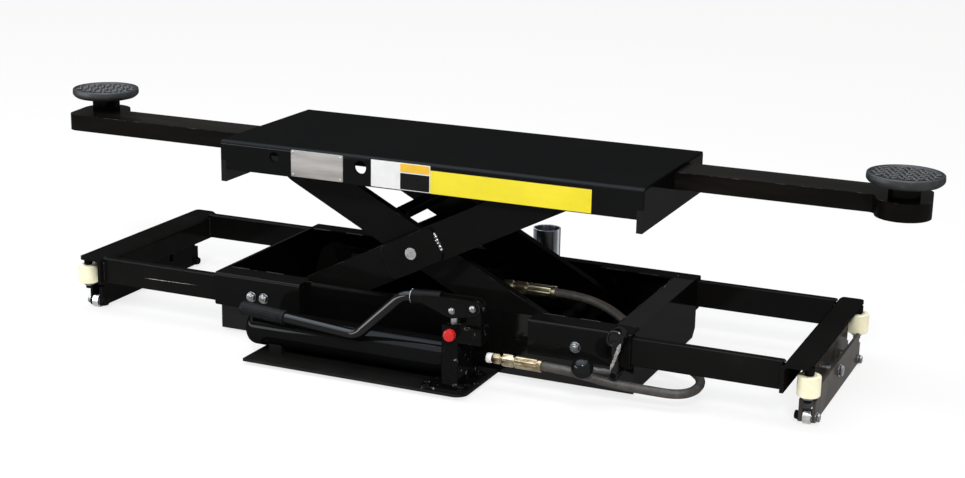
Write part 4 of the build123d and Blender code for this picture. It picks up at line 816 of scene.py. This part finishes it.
WEB_INSET = 45
RAIL_OUTER = 180.6
RAIL_INNER = 165
RAIL_TOP = 102.2
for name, (side, reach) in REACHES.items():
    web = side * (reach - WEB_INSET)
    over = web + side * 1.5
    runs = []
    for back in BOTH:
        runs.append([(web, back * RAIL_OUTER, 61), (web, back * RAIL_OUTER, 96)])
        runs.append([(over, back * 178, RAIL_TOP), (over, back * 168, RAIL_TOP)])
        runs.append([(web, back * RAIL_INNER, 62), (web, back * RAIL_INNER, 97)])
    welds(f"{name}_frame_welds", runs, radius=2.2, body=f"{name}_frame")

LEDGE_Y = 145.0
LEDGE_Z = 110.4
END_LEDGE_X = 340.2
SKIRT_Y = -165.2
SKIRT_Z = 11.6
TUBE_X = 78
TUBE_Y = 165
base_runs = []
for low, high in ((-368, -330), (-300, -262), (214, 252), (276, 314)):
    for back in BOTH:
        base_runs.append([(low, back * LEDGE_Y, LEDGE_Z), (high, back * LEDGE_Y, LEDGE_Z)])
for y in (-120, -40, 68, 128):
    base_runs.append([(END_LEDGE_X, y - 12, LEDGE_Z), (END_LEDGE_X, y + 12, LEDGE_Z)])
for low, high in ((-240, -190), (-120, -70), (10, 60)):
    base_runs.append([(low, SKIRT_Y, SKIRT_Z), (high, SKIRT_Y, SKIRT_Z)])
for edge in BOTH:
    side_x = TUBE_X + edge * 9.2
    base_runs.append([(side_x, TUBE_Y, 24), (side_x, TUBE_Y, 48)])
welds("base_welds", base_runs, radius=1.8, body="base")

TACKS = ((343, 87), (343, 160), (343, -106), (368, -146), (254, -146), (265, -148), (281, -146),
         (309, -146), (-352, -146), (-318, -147))
TACK_Z = 109.9
TACK_PROFILE = ((0, 1.9), (0.6, 1.7), (1.1, 1.0), (1.3, 0.2))
tacks = [turned(at(x, y, TACK_Z), Z, TACK_PROFILE, segments=12) for x, y in TACKS]
piece("weld_tacks", join(*tacks), bead_painted_glint, "base")

LEG_ANGLE = radians(27.19)
along_leg = Vector((cos(LEG_ANGLE), 0, sin(LEG_ANGLE)))
across_leg = Vector((-sin(LEG_ANGLE), 0, cos(LEG_ANGLE)))
centre = Vector((-21.35, 0, 180.02))
DOUBLER_END = 53
DOUBLER_Y = 142.6
DOUBLER_HALF = 18
doubler_runs = []
for back in BOTH:
    middle = centre + along_leg * DOUBLER_END + Y * back * DOUBLER_Y
    half_width = across_leg * DOUBLER_HALF
    doubler_runs.append([tuple(middle - half_width), tuple(middle + half_width)])
welds("doubler_welds", doubler_runs, radius=4.4, body="outer_legs", coating=bead_painted_glint, ripple=6.0)


# The outer legs' upper ends are square at their lower corner

LEG_HALF = 31.0
LEG_END = 253.9
LEG_FACES = (125.8, 141.8)
LEG_LAP = 2
CORNER_STEPS = 9
inner_r = LEG_HALF - LEG_LAP
corner_line = [
    (LEG_END - LEG_LAP, LEG_LAP - LEG_HALF), (LEG_END - LEG_LAP, -LEG_HALF),
    (LEG_END + LEG_HALF, -LEG_HALF), (LEG_END + LEG_HALF, LEG_LAP),
    (LEG_END + LEG_HALF - LEG_LAP, LEG_LAP),
]
for step in range(1, CORNER_STEPS):
    angle = -pi / 2 * step / CORNER_STEPS
    corner_line.append((LEG_END + inner_r * cos(angle), inner_r * sin(angle)))
leg_corners = []
for back in BOTH:
    rings = []
    for y in LEG_FACES[::back]:
        rings.append([(centre + along_leg * far + across_leg * wide + Y * back * y) * MM
                      for far, wide in corner_line])
    leg_corners.append(skin(rings))
piece("outer_leg_corners", join(*leg_corners), black_paint, "outer_legs")


# Weld around the handle tube's socket

socket_line = Vector((63.0, 0, 4.5)).normalized()
ring_centre = Vector((91, LEVER_Y, 155)) - socket_line * 45.3
ring_side = socket_line.cross(Y)
RING_R = 10.2
ring_run = []
for step in range(17):
    angle = pi * step / 8
    ring_run.append(tuple(ring_centre + (Y * cos(angle) + ring_side * sin(angle)) * RING_R))
welds("lever_socket_weld", [ring_run], radius=2.1, body="pump_lever", coating=bead_painted_glint)


# Studio, in metres

def softbox(name, place, target, size, power, colour, diffuse=True):
    """An area lamp; one that isn't diffuse shows only in glossy surfaces, as a reflector card does."""
    data = bpy.data.lights.new(name, "AREA")
    data.shape = "RECTANGLE"
    data.size, data.size_y = size
    data.energy = power
    data.color = colour
    made = bpy.data.objects.new(name, data)
    made.location = place
    made.rotation_euler = (Vector(target) - Vector(place)).to_track_quat("-Z", "Y").to_euler()
    made.visible_camera = False
    made.visible_diffuse = diffuse
    scene.collection.objects.link(made)


def seen_rays(tree):
    """1 for what the camera sees straight, in a gloss or through a clear thing."""
    path = add(tree, "ShaderNodeLightPath").outputs
    total = path["Is Camera Ray"]
    for word in ("Is Glossy Ray", "Is Transmission Ray"):
        both = tree.nodes.new("ShaderNodeMath")
        both.operation = "MAXIMUM"
        tree.links.new(total, both.inputs[0])
        tree.links.new(path[word], both.inputs[1])
        total = both.outputs["Value"]
    return total


key_data = bpy.data.lights.new("key_light", "SUN")
key_data.energy = 1.9
key_data.angle = radians(12)
key_data.color = (1.0, 0.98, 0.95)
key = bpy.data.objects.new("key_light", key_data)
key.rotation_euler = Vector((-0.30, 0.69, -0.66)).to_track_quat("-Z", "Y").to_euler()
scene.collection.objects.link(key)
softbox("sky_light", place=(-0.6, -0.6, 3.2), target=(-0.6, -0.6, 0.2), size=(4.2, 2.0), power=85.0,
        colour=(0.92, 0.96, 1.0))
softbox("sky_card", place=(-1.0, -0.8, 3.6), target=(-1.0, -0.8, 0.2), size=(9.0, 8.0), power=1250.0,
        colour=(0.72, 0.84, 1.0), diffuse=False)
softbox("side_card", place=(-2.63, -2.0, 0.64), target=(0.0, -0.28, 0.11), size=(3.0, 0.7), power=100.0,
        colour=(0.94, 0.97, 1.0), diffuse=False)

world = bpy.data.worlds.new("studio")
world.use_nodes = True
scene.world = world
AMBIENT = 0.35
backdrop = world.node_tree.nodes["Background"]
strength = spread(world.node_tree, seen_rays(world.node_tree), AMBIENT, 1.0)
world.node_tree.links.new(strength, backdrop.inputs["Strength"])
backdrop.inputs["Color"].default_value = (1, 1, 1, 1)

FLOOR_HALF = 12.0
FLOOR_GLOW = 0.78
floor_corners = [(-FLOOR_HALF, -FLOOR_HALF, 0), (FLOOR_HALF, -FLOOR_HALF, 0), (FLOOR_HALF, FLOOR_HALF, 0),
                 (-FLOOR_HALF, FLOOR_HALF, 0)]
floor_mesh = bpy.data.meshes.new("floor")
floor_mesh.from_pydata(floor_corners, [], [[0, 1, 2, 3]])
floor = bpy.data.objects.new("floor", floor_mesh)
scene.collection.objects.link(floor)
paper = bpy.data.materials.new("paper")
paper.use_nodes = True
tree = paper.node_tree
tree.nodes.remove(tree.nodes["Principled BSDF"])
matte = add(tree, "ShaderNodeBsdfDiffuse", Color=(0.90, 0.90, 0.90, 1.0)).outputs["BSDF"]
glow = add(tree, "ShaderNodeEmission", Color=(1, 1, 1, 1), Strength=1.0).outputs["Emission"]
glow_share = spread(tree, seen_rays(tree), 0.0, FLOOR_GLOW)
blend = tree.nodes.new("ShaderNodeMixShader")
tree.links.new(glow_share, blend.inputs["Fac"])
tree.links.new(matte, blend.inputs[1])
tree.links.new(glow, blend.inputs[2])
tree.links.new(blend.outputs["Shader"], tree.nodes["Material Output"].inputs["Surface"])
floor_mesh.materials.append(paper)
